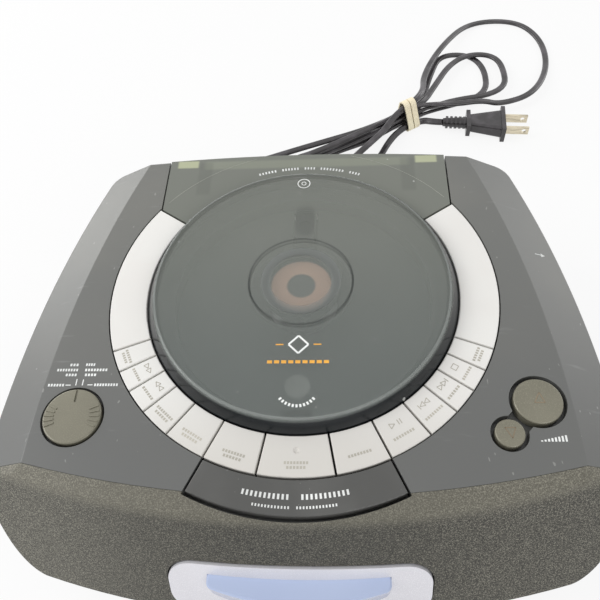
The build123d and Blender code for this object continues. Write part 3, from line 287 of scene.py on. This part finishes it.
# What shows dimly through the lid. A span is its low side, its high side and how soft both are.
SLOT_AT = (0.0012, 0.0598)                   # the pickup's slot, a capsule
SLOT_STRAIGHT = 0.0052                       # half the length of its straight sides
SLOT_EDGE = (0.0040, 0.0052)
LATCH_ACROSS, LATCH_ALONG = (0.0, 0.0062, 0.0006), (-0.0462, -0.0436, 0.0008)
CLAMPER_EDGE, CLAMPER_SEAT = (0.0243, 0.0249, 0.0004), (0.0152, 0.0184, 0.0012)
FLANGE_PATCHES = [                           # span across, span along, strength and colour
    ((0.0, 0.054, 0.004), (0.1052, 0.1090, 0.0022), 0.24, (176, 182, 158)),          # pale strip
    ((0.0525, 0.0580, 0.002), (0.087, 0.108, 0.003), 0.22, (84, 88, 82)),            # hinge arms
    ((0.0605, 0.0705, 0.0015), (0.1062, 0.1102, 0.0012), 0.7, (206, 211, 172)),      # pale blocks
]

# The lid itself, by radius: a painted highlight along the edge of its dome, its wall and its flange
LID_EDGE_HIGHLIGHT = (0.0695, 0.0702, 0.0005)
LID_WALL_IN = (0.0705, 0.0713)
LID_FLANGE_IN = (0.0742, 0.0746)
SPOT_EDGE = (0.0052, 0.0058)
LID_ALPHA = 0.36
WALL_ALPHA, FLANGE_ALPHA, SEAT_ALPHA = 0.6, 0.56, 0.3    # added to the lid's own


def lid_plastic():
    """Smoked clear plastic, with painted shade that makes it darker to the front, a painted highlight along
    the edge of its dome, a dark wall and a less clear flange.
    """
    finish = Finish("smoked_lid", (159, 163, 155), 0.17)
    finish.cloud((164, 167, 159), 11.0, 2.0, *SOFT_CLOUD)
    across = finish.maths("ABSOLUTE", finish.axis("X"))
    along = finish.axis("Y")
    # painted shade: the lid darker towards the front
    finish.tint(finish.below(along, -0.045, 0.085), 0.9, (132, 139, 136))

    beyond = finish.minus(finish.maths("ABSOLUTE", finish.minus(along, SLOT_AT[1])), SLOT_STRAIGHT)
    beyond = finish.maths("MAXIMUM", beyond, 0.0)
    aside = finish.minus(finish.axis("X"), SLOT_AT[0])
    slot = finish.below(finish.length(aside, beyond), *SLOT_EDGE)
    latch = finish.patch(across, LATCH_ACROSS, along, LATCH_ALONG)
    finish.tint(finish.maths("MAXIMUM", slot, latch), 0.26, (84, 88, 86))

    radius = finish.disc_radius()
    flange = finish.above(radius, *LID_FLANGE_IN)
    wall = finish.times(finish.above(radius, *LID_WALL_IN), finish.minus(1.0, flange))
    finish.tint(finish.ring(radius, *CLAMPER_EDGE), 0.75, (58, 62, 61))
    # painted light: over the seat the lid is made less clear and mid grey, which hides the shade between the
    # seat's walls below
    seat = finish.ring(radius, *CLAMPER_SEAT)
    finish.tint(seat, 0.9, (124, 128, 125))
    finish.mix(wall, (14, 20, 24))
    # painted highlight: a bright line along the edge of the dome
    finish.tint(finish.ring(radius, *LID_EDGE_HIGHLIGHT), 0.8, (214, 220, 216))
    finish.tint(flange, 0.9, (118, 121, 113))
    for across_span, along_span, strength, colour in FLANGE_PATCHES:
        finish.tint(finish.patch(across, across_span, along, along_span), strength, colour)
    finish.tint(finish.below(finish.distance(0.0, SPOT_Y), *SPOT_EDGE), 0.3, (190, 196, 190))

    # fine scratches and pale specks
    finish.cloud((210, 214, 210), 55.0, 2.0, 0.73, 0.78, stretch=(1.0, 14.0, 1.0), strength=0.12)
    finish.cloud((215, 217, 213), 300.0, 0.0, 0.85, 0.87, strength=0.6)

    added = finish.plus(finish.times(wall, WALL_ALPHA), finish.times(flange, FLANGE_ALPHA))
    added = finish.plus(added, finish.times(seat, SEAT_ALPHA))
    finish.link(finish.plus(added, LID_ALPHA), finish.shader.inputs["Alpha"])
    finish.grain(900.0, 1.0, 0.0000005)
    return finish.done()


def pearl(name, colour, lighter, rough):
    """Pearly paint, as on the controls and the display plate."""
    finish = Finish(name, colour, rough, metal=0.25, coat=0.3)
    finish.cloud(lighter, 30.0, 2.0, 0.3, 0.7)
    finish.cloud(scaled(lighter, 1.03), 3000.0, 0.0, 0.55, 0.75)
    finish.grain(1800.0, 1.0, 0.000006)
    return finish.done()


def lens_plastic():
    """The display's blue lens, with painted shade that makes it darker and a deeper blue along its lower
    edge.
    """
    finish = Finish("blue_lens", (178, 192, 224), 0.16, coat=0.5)
    # painted shade: a dark line along the lens's lower edge
    finish.tint(finish.below(finish.axis("Z"), 0.0545, 0.0584), 0.7, (104, 116, 160))
    finish.cloud((190, 204, 232), 24.0, 1.0, 0.4, 0.7, strength=0.3)
    finish.grain(600.0, 1.0, 0.000002)
    return finish.done()


def metal(name, colour, rough):
    """Drawn metal, with fine level lines."""
    finish = Finish(name, colour, rough, metal=1.0)
    finish.cloud(scaled(colour, 0.82), 140.0, 3.0, 0.4, 0.7, stretch=(1.0, 1.0, 9.0))
    finish.grain(700.0, 2.0, 0.00001, stretch=(1.0, 1.0, 12.0))
    return finish.done()


def board():
    """A circuit board, with green tracks that stand above it."""
    finish = Finish("circuit_board", (122, 92, 48), 0.5)
    tracks = finish.noise(260.0, 0.0)
    finish.mix(finish.above(tracks, 0.52, 0.56), (70, 92, 48))
    finish.raise_by(tracks, 0.00004)
    return finish.done()


def cord_cover():
    finish = Finish("cord_cover", (44, 41, 43), 0.3, coat=0.35)
    finish.cloud((76, 72, 76), 90.0, 2.0, 0.4, 0.75)
    finish.grain(1500.0, 1.0, 0.00001)
    return finish.done()


def copper():
    """The ring on the clamper, blurred at both edges by the plastic over it."""
    finish = Finish("copper_ring", (84, 86, 84), 0.5)
    finish.mix(finish.ring(finish.disc_radius(), 0.0076, 0.0136, 0.0016), (253, 204, 176))
    finish.grain(900.0, 1.0, 0.00001)
    return finish.done()


CASE = casing()
FRONT = speckle()
LID = lid_plastic()
KEYS = ivory()
BLACK = moulded("black_inner", (26, 26, 27), 0.55, 0.00002)
WELL = moulded("well_plastic", (66, 68, 66), 0.5)
REPEAT = moulded("dark_key", (80, 80, 78), 0.4, dust=0.4)
PEARL = pearl("olive_pearl", (116, 113, 98), (130, 127, 111), 0.4)
PLATE = pearl("silver_plate", (222, 221, 227), (232, 231, 236), 0.38)
LENS = lens_plastic()
STEEL = metal("steel", (188, 188, 186), 0.32)
IRON = metal("dark_iron", (88, 84, 80), 0.5)
BRASS = metal("plug_brass", (222, 212, 188), 0.3)
CLAMPER = moulded("clamper_grey", (82, 84, 82), 0.5)
BOARD = board()
WHITE_GEAR = moulded("white_gear", (222, 220, 214), 0.35)
RUBBER = moulded("black_rubber", (32, 32, 32), 0.7, 0.00003)
CORD = cord_cover()
BAND = moulded("band_rubber", (255, 243, 212), 0.6, 0.00002, lift=1.02)
PAPER = moulded("speaker_cone", (44, 42, 40), 0.85, 0.00004)
COPPER = copper()
WHITE_INK = moulded("white_ink", (222, 224, 222), 0.5, INK_GRAIN)
ORANGE_INK = moulded("orange_ink", (226, 166, 70), 0.5, INK_GRAIN)
GREY_INK = moulded("grey_ink", (178, 174, 163), 0.5, INK_GRAIN)
FAINT_INK = moulded("faint_ink", (126, 112, 92), 0.5, INK_GRAIN)
FAINT_LINE = moulded("faint_line", (158, 160, 150), 0.5, INK_GRAIN)

FINISHES = {
    CASE: ["bottom_case", "top_case", "battery_door"],
    FRONT: ["front_grille"],
    LID: ["disc_lid"],
    KEYS: ["trim_left", "trim_right"] + [f"ring_key_{i:02d}" for i in range(1, 14)],
    REPEAT: ["repeat_key"],
    PEARL: ["selector_knob", "volume_up_button", "volume_down_button"],
    PLATE: ["display_bezel"],
    LENS: ["display_lens"],
    WELL: ["disc_deck"],
    BLACK: ["lid_latch", "display_module", "key_switches", "selector_switch", "speaker_baffle",
            "turntable", "laser_sled", "tuning_wheel"],
    CLAMPER: ["disc_clamper"],
    STEEL: ["hinge_pins", "spindle_motor", "player_chassis", "sled_rails", "sled_motor",
            "battery_contacts", "case_screws"],
    IRON: ["transformer", "ferrite_aerial"],
    BRASS: ["plug_blades"],
    BOARD: ["key_board", "volume_board", "main_board"],
    WHITE_GEAR: ["sled_pinion", "tuning_capacitor"],
    RUBBER: ["rubber_dampers", "rubber_feet"],
    CORD: ["cord_gland", "cord_plug"],
    BAND: ["cord_band"],
    PAPER: ["speaker_left", "speaker_right"],
}


def dress_nodes():
    for material, names in FINISHES.items():
        for name in names:
            data = nodes[name].data
            data.materials.clear()
            data.materials.append(material)


dress_nodes()


# Cord

CORD_W, CORD_H = 4.8, 2.7
WAIST_X, WAIST_Y, WAIST_TURN = 69.0, 239.0, 32.0         # where the band holds the hank
WAIST_Z = 3.9                                            # the lowest strands' height there
PITCH = 4.5                                              # from strand to strand there
ROLL_REACH = 0.035                                       # from the band to where the cord lies level
LOBE_POINTS, LOBE_STEP = 9, 28                           # points round each wire, and the degrees between
LINE_STEPS = 8                                           # points of the smooth line to a control point
LEAD = [
    (-20.0, 136.0, 20.0), (-20.0, 149.0, 20.0), (-16.0, 163.0, 14.0), (-5.0, 174.0, 8.2),
    (10.0, 181.0, 7.8), (25.0, 188.0, 11.0), (36.3, 197.8, 15.0),
]


def heading(degrees):
    return Vector((math.cos(math.radians(degrees)), math.sin(math.radians(degrees)), 0))


def waist(across, layer):
    """A strand's place in the band, counted across the hank and up from its lowest layer."""
    side = heading(WAIST_TURN + 90) * (across * PITCH)
    return Vector((WAIST_X, WAIST_Y, WAIST_Z + layer * PITCH)) + side


def hank_stations():
    """Where the hank's cord passes, and its direction there. It goes through the band seven times."""
    out, back = WAIST_TURN, WAIST_TURN + 180
    return [
        (Vector((44.0, 207.0, 15.0)), 50),
        (waist(0.0, 3), 43),
        (Vector((92.0, 300.0, 8.6)), 64),
        (Vector((154.0, 362.0, 1.6)), 0),
        (Vector((186.0, 320.0, 1.6)), -91),
        (Vector((147.0, 251.5, 7.2)), 202),
        (Vector((118.0, 246.5, 12.4)), 190),
        (waist(0.0, 2), back),
        (Vector((3.0, 199.5, 11.8)), 207),
        (Vector((-65.0, 170.0, 8.8)), 115),
        (Vector((-35.0, 197.0, 7.4)), 22),
        (waist(0.5, 1), out),
        (Vector((101.0, 289.0, 6.0)), 62),
        (Vector((132.0, 313.0, 4.8)), 0),
        (Vector((149.0, 293.0, 4.8)), -92),
        (waist(-0.5, 1), back),
        (Vector((8.0, 202.0, 7.2)), 207),
        (Vector((-50.0, 176.0, 4.6)), 115),
        (Vector((-25.0, 197.5, 2.4)), 22),
        (waist(0.5, 0), out),
        (Vector((88.0, 281.0, 1.8)), 74),
        (Vector((114.0, 318.0, 1.6)), 0),
        (Vector((135.0, 288.0, 1.6)), -95),
        (waist(-0.5, 0), back),
        (Vector((26.0, 212.0, 2.6)), 203),
        (Vector((5.0, 192.0, 1.8)), -70),
        (Vector((26.0, 183.0, 1.8)), 25),
        (waist(-1.5, 0) + heading(out) * 2.5, out),
        (Vector((95.5, 232.0, 6.2)), -5),
    ]


def corners(start, start_dir, end, end_dir):
    """The two corners of the route between two stations, as far along both directions."""
    chord = end - start
    along = chord.dot(start_dir + end_dir)
    bend = 2 * (1 - start_dir.dot(end_dir))
    if bend > 1e-6:
        reach = (math.sqrt(along * along + bend * chord.dot(chord)) - along) / bend
    else:
        reach = chord.length / 4
    return [start + start_dir * reach, end - end_dir * reach]


def cord_route():
    stations = [(p, heading(a)) for p, a in hank_stations()]
    points = [Vector(p) for p in LEAD] + [stations[0][0]]
    for (p0, d0), (p1, d1) in zip(stations[:-1], stations[1:]):
        points += corners(p0, d0, p1, d1)
    return points + [stations[-1][0]]


def smooth_line(points):
    """Points along the NURBS line that has these as its control points."""
    curve = bpy.data.curves.new("cord_line", "CURVE")
    curve.dimensions = "3D"
    curve.resolution_u = LINE_STEPS
    spline = curve.splines.new("NURBS")
    spline.points.add(len(points) - 1)
    for point, place in zip(spline.points, points):
        point.co = (*(place * MM), 1.0)
    spline.order_u = 3
    spline.use_endpoint_u = True
    line = bpy.data.objects.new("cord_line", curve)
    mesh = bpy.data.meshes.new_from_object(line)
    path = [v.co.copy() for v in mesh.vertices]
    bpy.data.meshes.remove(mesh)
    bpy.data.objects.remove(line)
    return path


def cord_section():
    """Twin cord: two round wires side by side with a groove between them."""
    points = []
    lobe = CORD_H / 2
    middle = CORD_W / 2 - lobe
    for side in (1, -1):
        for i in range(LOBE_POINTS):
            turn = math.radians(LOBE_STEP * (i - (LOBE_POINTS - 1) / 2)) * side
            points.append((side * (middle + lobe * math.cos(turn)), lobe * math.sin(turn)))
    points.sort(key=lambda p: math.atan2(p[1], p[0]))
    return [(x * MM, y * MM) for x, y in points]


def cord_roll(place):
    """How far the cord is rolled over: on edge in the band, and level well away from it."""
    apart = (Vector((place.x, place.y, 0)) - Vector((WAIST_X * MM, WAIST_Y * MM, 0))).length
    return math.radians(90) * max(0.0, 1.0 - apart / ROLL_REACH)


def mesh_piece(name, verts, faces, smooth=False):
    mesh = bpy.data.meshes.new(name)
    mesh.from_pydata([tuple(v) for v in verts], [], faces)
    mesh.validate()
    mesh.update()
    if smooth:
        mesh.shade_smooth()
    piece = bpy.data.objects.new(name, mesh)
    bpy.context.scene.collection.objects.link(piece)
    return piece


def ribbon_tube(name, path, section, roll):
    """A tube of the given section along a path. The section's width lies level, turned by roll."""
    verts, faces = [], []
    count = len(section)
    for i, place in enumerate(path):
        ahead = path[min(i + 1, len(path) - 1)] - path[max(i - 1, 0)]
        ahead.normalize()
        wide = Vector((0, 0, 1)).cross(ahead).normalized()
        deep = ahead.cross(wide)
        turn = Matrix.Rotation(roll(place), 3, ahead)
        for x, y in section:
            verts.append(place + turn @ (wide * x + deep * y))
    for i in range(len(path) - 1):
        for k in range(count):
            a, b = i * count + k, i * count + (k + 1) % count
            faces.append((a, b, b + count, a + count))
    faces.append(tuple(reversed(range(count))))
    faces.append(tuple(range((len(path) - 1) * count, len(path) * count)))
    return mesh_piece(name, verts, faces, smooth=True)


def add_cord():
    path = smooth_line(cord_route())
    cord = ribbon_tube("mains_cord", path, cord_section(), cord_roll)
    cord.data.materials.append(CORD)
    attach(cord, "case")
    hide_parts("cord_lead", "cord_hank")


add_cord()


# Printed marks: shapes as lists of points, in millimetres

def polar(radius, degrees):
    """A point of the ring by its angle from the front, positive to the right."""
    turn = math.radians(degrees)
    return Vector((radius * math.sin(turn), DECK_Y - radius * math.cos(turn)))


def shifted(points, dx, dy=0.0):
    return [(x + dx, y + dy) for x, y in points]


def turned(points, centre, degrees, size=1.0):
    """Points drawn about the origin, scaled, turned and set at a centre."""
    c, s = math.cos(math.radians(degrees)), math.sin(math.radians(degrees))
    return [(centre[0] + size * (x * c - y * s), centre[1] + size * (x * s + y * c)) for x, y in points]


def bar(x, y, w, h):
    return [(x - w / 2, y - h / 2), (x + w / 2, y - h / 2), (x + w / 2, y + h / 2), (x - w / 2, y + h / 2)]


def arc_strip(r0, r1, a0, a1, steps):
    """Quads along an arc about the origin, angles in degrees from +X."""
    quads = []
    for i in range(steps):
        b0, b1 = (math.radians(a0 + (a1 - a0) * k / steps) for k in (i, i + 1))
        quads.append([(r0 * math.cos(b0), r0 * math.sin(b0)), (r1 * math.cos(b0), r1 * math.sin(b0)),
                      (r1 * math.cos(b1), r1 * math.sin(b1)), (r0 * math.cos(b1), r0 * math.sin(b1))])
    return quads


def outline(points, width):
    """Bars along the sides of a closed shape."""
    quads = []
    for (x0, y0), (x1, y1) in zip(points, points[1:] + points[:1]):
        run = math.hypot(x1 - x0, y1 - y0)
        nx, ny = -(y1 - y0) / run * width / 2, (x1 - x0) / run * width / 2
        quads.append([(x0 - nx, y0 - ny), (x1 - nx, y1 - ny), (x1 + nx, y1 + ny), (x0 + nx, y0 + ny)])
    return quads


def word(x0, x1, y, height=1.2, step=1.35):
    """A row of short bars, where the photographed object has a printed word."""
    count = max(2, round((x1 - x0) / step))
    pitch = (x1 - x0) / count
    return [bar(x0 + (i + 0.5) * pitch, y, 0.66 * pitch, height) for i in range(count)]


def arc_word(radius, a0, a1, height, step):
    """The same along the ring, between two angles from the front."""
    count = max(2, round(math.radians(a1 - a0) * radius / step))
    pitch = (a1 - a0) / count
    wide = 0.5 * math.radians(pitch) * radius
    angles = [a0 + (i + 0.5) * pitch for i in range(count)]
    return [turned(bar(0, 0, wide, height), polar(radius, a), a) for a in angles]


def flat(height):
    return lambda x, y: height


def dome(x, y):
    """The lid's upper face."""
    return LID_TOP - LID_CROWN * ((x * x + (y - DECK_Y) ** 2) / RIM_R ** 2)


def facet(x, y):
    """The sloping facet along the right flank."""
    away = math.hypot(x + SIDE_R - HALF_WIDTH, y - DECK_Y - SIDE_MID_Y)
    return TOP - FACET_DROP + (SIDE_R - away) * FACET_DROP / FACET_W


def marks(name, shapes, surface, material, body):
    """Thin printed shapes laid on a surface, as one piece that rides on a body."""
    verts, faces = [], []
    for shape in shapes:
        first = len(verts)
        verts += [Vector((x, y, surface(x, y) + PRINT_H)) * MM for x, y in shape]
        faces.append(tuple(range(first, len(verts))))
    piece = mesh_piece(name, verts, faces)
    piece.data.materials.append(material)
    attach(piece, body)


# Signs and words on the ring keys
TRIANGLE = [(-1.3, -1.4), (1.3, 0), (-1.3, 1.4)]
TRIANGLE_BACK = [(1.3, -1.4), (1.3, 1.4), (-1.3, 0)]
SQUARE = [(-1.5, -1.5), (1.5, -1.5), (1.5, 1.5), (-1.5, 1.5)]
SIGN_LINE, SIGN_BAR = 0.42, (0.5, 2.8)
SIGN_R, SIGN_SIZE = 80.5, 0.85
WORD_R = 86.3
WORD_KEY_R, WORD_SHARE, WORD_MOST = 86, 0.36, 5.2        # how much of a key's width half a word takes
SECOND_SHARE, SECOND_DROP = 0.8, -2.0                    # the shorter word below it
ONE_WORD_KEY = 8


def sign(triangle, *places):
    return [quad for x in places for quad in outline(shifted(triangle, x), SIGN_LINE)]


def key_symbol(number):
    """The sign on each ring key, numbered from the left."""
    signs = {
        2: sign(TRIANGLE, -1.5, 1.7),
        3: sign(TRIANGLE_BACK, -1.5, 1.7),
        9: sign(TRIANGLE, -2.2) + [bar(1.2, 0, *SIGN_BAR), bar(2.6, 0, *SIGN_BAR)],
        10: [bar(-3.4, 0, *SIGN_BAR)] + sign(TRIANGLE_BACK, -1.4, 1.6),
        11: sign(TRIANGLE, -1.6, 1.4) + [bar(3.4, 0, *SIGN_BAR)],
        12: outline(SQUARE, SIGN_LINE),
    }
    return signs.get(number, [])


def add_key_marks():
    edges = [-a for a in reversed(KEY_SPLITS)] + KEY_SPLITS
    for number, (a0, a1) in enumerate(zip(edges[:-1], edges[1:]), 1):
        middle = (a0 + a1) / 2
        symbol = key_symbol(number)
        shapes = [turned(s, polar(SIGN_R, middle), middle, SIGN_SIZE) for s in symbol]
        half = min(WORD_MOST, math.radians(a1 - a0) * WORD_KEY_R * WORD_SHARE)
        text = word(-half, half, 0)
        if not symbol and number != ONE_WORD_KEY:
            text += word(-SECOND_SHARE * half, SECOND_SHARE * half, SECOND_DROP)
        shapes += [turned(s, polar(WORD_R, middle), middle) for s in text]
        marks(f"key_mark_{number:02d}", shapes, flat(TOP), GREY_INK, f"key_{number:02d}")


add_key_marks()


# Words and signs by the controls, with y from the disc's axis
REPEAT_WORDS = [         # radius, two angles, height, step
    (100.4, -12.6, -1.2, 2.2, 1.9), (100.4, 1.2, 12.6, 2.2, 1.9),
    (104.6, -9.6, -1.0, 1.1, 1.3), (104.6, 0.2, 9.4, 1.1, 1.3),
]
PLACE_WORDS = [          # left end, right end, y, for the four places round the knob
    (-113.0, -105.2, -50.9), (-91.8, -80.6, -50.8), (-106.0, -100.5, -45.8), (-110.5, -100.4, -43.3),
    (-105.0, -100.7, -40.7), (-97.1, -91.5, -45.8), (-97.5, -86.8, -43.3), (-97.6, -93.0, -40.6),
]
PLACE_WORD_H, PLACE_WORD_STEP = 1.3, 1.3
PLACE_POINTERS = [       # x, y, width, height
    (-103.5, -50.9, 2.4, 0.5), (-93.5, -50.8, 2.4, 0.5), (-100.0, -49.5, 0.5, 3.2), (-97.0, -49.6, 0.5, 3.0),
]
WEDGE_X, WEDGE_Y, WEDGE_BARS = 99.8, -76.7, 8            # the rising wedge beside the volume buttons
WEDGE_STEP, WEDGE_BAR_W = (1.4, 0.16), 0.8
WEDGE_LOW, WEDGE_GROWTH = 0.5, 0.32                      # its first bar's height, and how the others grow
VOLUME_SIGN, VOLUME_LINE = [(-2.2, -2.0), (2.2, -2.0), (0.3, 2.6)], 0.4
VOLUME_SIGNS = (("volume_up", (101.6, -58.0), 1), ("volume_down", (87.8, -73.2), -1))
ARROW_SHAFT = (116.0, 22.0, 3.6, 0.5)
ARROW_HEAD = [(117.4, 20.8), (119.6, 22.0), (117.4, 23.2)]


def add_control_marks():
    text = [s for row in REPEAT_WORDS for s in arc_word(*row)]
    marks("repeat_mark", text, flat(TOP), WHITE_INK, "repeat")

    text = [s for x0, x1, y in PLACE_WORDS
            for s in word(x0, x1, y + DECK_Y, PLACE_WORD_H, PLACE_WORD_STEP)]
    text += [bar(x, y + DECK_Y, w, h) for x, y, w, h in PLACE_POINTERS]
    marks("selector_mark", text, flat(TOP), WHITE_INK, "case")

    step_x, step_y = WEDGE_STEP
    wedge = [bar(WEDGE_X + step_x * i, WEDGE_Y + DECK_Y + step_y * i, WEDGE_BAR_W,
                 WEDGE_LOW + WEDGE_GROWTH * i) for i in range(WEDGE_BARS)]
    marks("volume_mark", wedge, flat(TOP), WHITE_INK, "case")
    for name, (x, y), way in VOLUME_SIGNS:
        shape = [(x + a, y + DECK_Y + way * b) for a, b in VOLUME_SIGN]
        marks(f"{name}_mark", outline(shape, VOLUME_LINE), flat(TOP + VOLUME_RISE), FAINT_INK, name)

    x, y, w, h = ARROW_SHAFT
    arrow = [bar(x, y + DECK_Y, w, h), shifted(ARROW_HEAD, 0.0, DECK_Y)]
    marks("tuner_mark", arrow, facet, WHITE_INK, "case")


add_control_marks()


# Marks on the lid
DIAMOND, DIAMOND_LINE = [(0, -4.4), (4.4, 0), (0, 4.4), (-4.4, 0)], 0.9
DIAMOND_AT = (0, DECK_Y - 35.0)
ORANGE_BARS = [(3.1 * i, -8.6, 2.2, 1.5) for i in range(-4, 5)]          # a row under the diamond
ORANGE_BARS += [(-8.4, 0, 3.4, 0.6), (8.4, 0, 3.4, 0.6)]                 # and one on each side of it
DISC_SIGN_Y = DECK_Y + 62.5
DISC_SIGN_RINGS, DISC_SIGN_STEPS = ((0.9, 1.3), (2.9, 3.4)), 24
OPEN_R, OPEN_TICK = 9.2, (0.9, 1.4)                      # the arc of ticks under the push-to-open spot
OPEN_DEGREES = range(-50, 51, 10)
TITLE_R, TITLE_H, TITLE_STEP = 80.3, 1.7, 1.7
TITLE_WORDS = ((158.3, 163.0), (164.8, 174.4), (176.0, 180.6), (182.4, 189.4), (191.2, 198.6))
SEAM_R, SEAM_ANGLES, SEAM_STEPS = (92.3, 92.5), (38, 142), 60
SEAM_FROM_X, SEAM_TO_X = 26, 74.6                        # a fine line in the flange, on both sides


def add_lid_marks():
    diamond = [shifted(q, *DIAMOND_AT) for q in outline(DIAMOND, DIAMOND_LINE)]
    marks("diamond_mark", diamond, dome, WHITE_INK, "lid")
    bars = [shifted(bar(*b), *DIAMOND_AT) for b in ORANGE_BARS]
    marks("bar_mark", bars, dome, ORANGE_INK, "lid")

    ticks = []
    for degrees in OPEN_DEGREES:
        turn = math.radians(degrees)
        place = (OPEN_R * math.sin(turn), SPOT_Y - OPEN_R * math.cos(turn))
        ticks.append(turned(bar(0, 0, *OPEN_TICK), place, degrees))
    marks("open_mark", ticks, dome, WHITE_INK, "lid")

    disc = [shifted(q, 0, DISC_SIGN_Y) for radii in DISC_SIGN_RINGS
            for q in arc_strip(*radii, 0, 360, DISC_SIGN_STEPS)]
    marks("disc_mark", disc, dome, WHITE_INK, "lid")

    title = [s for a0, a1 in TITLE_WORDS for s in arc_word(TITLE_R, a0, a1, TITLE_H, TITLE_STEP)]
    marks("title_mark", title, flat(TOP), WHITE_INK, "lid")

    seam = [shifted(q, 0, DECK_Y) for q in arc_strip(*SEAM_R, *SEAM_ANGLES, SEAM_STEPS)
            if SEAM_FROM_X < abs(q[0][0]) < SEAM_TO_X]
    marks("flange_line", seam, flat(TOP), FAINT_LINE, "lid")


add_lid_marks()


# The copper-coloured ring on the clamper, which shows through the lid

RING_SECTION = [(6.2, 92.3), (6.2, 92.6), (15.0, 92.6), (15.0, 92.3)]    # radius and height
RING_STEPS = 48


def add_clamp_ring():
    verts, faces = [], []
    for i in range(RING_STEPS):
        turn = 2 * math.pi * i / RING_STEPS
        for radius, z in RING_SECTION:
            verts.append(Vector((radius * math.cos(turn), DECK_Y + radius * math.sin(turn), z)) * MM)
    count = len(RING_SECTION)
    for i in range(RING_STEPS):
        here, ahead = count * i, count * ((i + 1) % RING_STEPS)
        for k in range(count):
            after = (k + 1) % count
            faces.append((here + k, here + after, ahead + after, ahead + k))
    ring = mesh_piece("clamp_ring", verts, faces)
    ring.data.materials.append(COPPER)
    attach(ring, "clamper")


add_clamp_ring()


# Stage and light

FLOOR_HALF = 6.0
FLOOR_GREY, FLOOR_ROUGH = (0.86, 0.86, 0.86, 1), 0.9
FLOOR_GLOW = 0.86        # how much of the floor is plain white, and the rest takes the shadow
WORLD_LIGHT = 0.62       # the white world as a light; to the camera its strength is 1
LIGHT_AIM = (0, 0, 0.05)
LIGHTS = [               # name, place, width, power
    ("key_light", (-1.3, 0.1, 1.1), 1.0, 11.0),
    ("left_light", (-1.15, 1.05, 0.45), 0.9, 5.0),
    ("right_light", (1.2, 0.95, 0.5), 0.9, 3.0),
    ("fill_light", (0.6, -0.9, 0.8), 0.8, 3.0),
]


def seen_ray(tree):
    """1 for what the camera sees straight, by reflection or through the plastic, else 0."""
    path = tree.nodes.new("ShaderNodeLightPath")
    seen = path.outputs["Is Camera Ray"]
    for name in ("Is Glossy Ray", "Is Transmission Ray"):
        either = tree.nodes.new("ShaderNodeMath")
        either.operation = "MAXIMUM"
        tree.links.new(seen, either.inputs[0])
        tree.links.new(path.outputs[name], either.inputs[1])
        seen = either.outputs[0]
    return seen


def floor_material():
    """White to the camera and in reflections, and keeps a part of the object's shadow."""
    material = bpy.data.materials.new("pale_floor")
    material.use_nodes = True
    tree = material.node_tree
    shader = tree.nodes["Principled BSDF"]
    shader.inputs["Base Color"].default_value = FLOOR_GREY
    shader.inputs["Roughness"].default_value = FLOOR_ROUGH
    glow = tree.nodes.new("ShaderNodeEmission")
    glow.inputs["Strength"].default_value = 1.0
    share = tree.nodes.new("ShaderNodeMath")
    share.operation = "MULTIPLY"
    share.inputs[1].default_value = FLOOR_GLOW
    tree.links.new(seen_ray(tree), share.inputs[0])
    mix = tree.nodes.new("ShaderNodeMixShader")
    tree.links.new(share.outputs[0], mix.inputs[0])
    tree.links.new(shader.outputs[0], mix.inputs[1])
    tree.links.new(glow.outputs[0], mix.inputs[2])
    tree.links.new(mix.outputs[0], tree.nodes["Material Output"].inputs["Surface"])
    return material


def add_stage():
    verts = [(x * FLOOR_HALF, y * FLOOR_HALF, 0) for x, y in ((-1, -1), (1, -1), (1, 1), (-1, 1))]
    floor = mesh_piece("floor", verts, [(0, 1, 2, 3)])
    floor.data.materials.append(floor_material())


def add_world():
    world = bpy.data.worlds.new("studio")
    bpy.context.scene.world = world
    world.use_nodes = True
    tree = world.node_tree
    back = tree.nodes["Background"]
    back.inputs["Color"].default_value = (1, 1, 1, 1)
    level = tree.nodes.new("ShaderNodeMapRange")
    level.inputs["To Min"].default_value = WORLD_LIGHT
    level.inputs["To Max"].default_value = 1.0
    tree.links.new(seen_ray(tree), level.inputs["Value"])
    tree.links.new(level.outputs[0], back.inputs["Strength"])


def add_light(name, place, size, power):
    data = bpy.data.lights.new(name, "AREA")
    data.shape = "DISK"
    data.size = size
    data.energy = power
    lamp = bpy.data.objects.new(name, data)
    lamp.location = place
    lamp.rotation_euler = (Vector(LIGHT_AIM) - Vector(place)).to_track_quat("-Z", "Y").to_euler()
    bpy.context.scene.collection.objects.link(lamp)


add_stage()
add_world()
for light in LIGHTS:
    add_light(*light)
bpy.context.scene.view_settings.view_transform = "Standard"
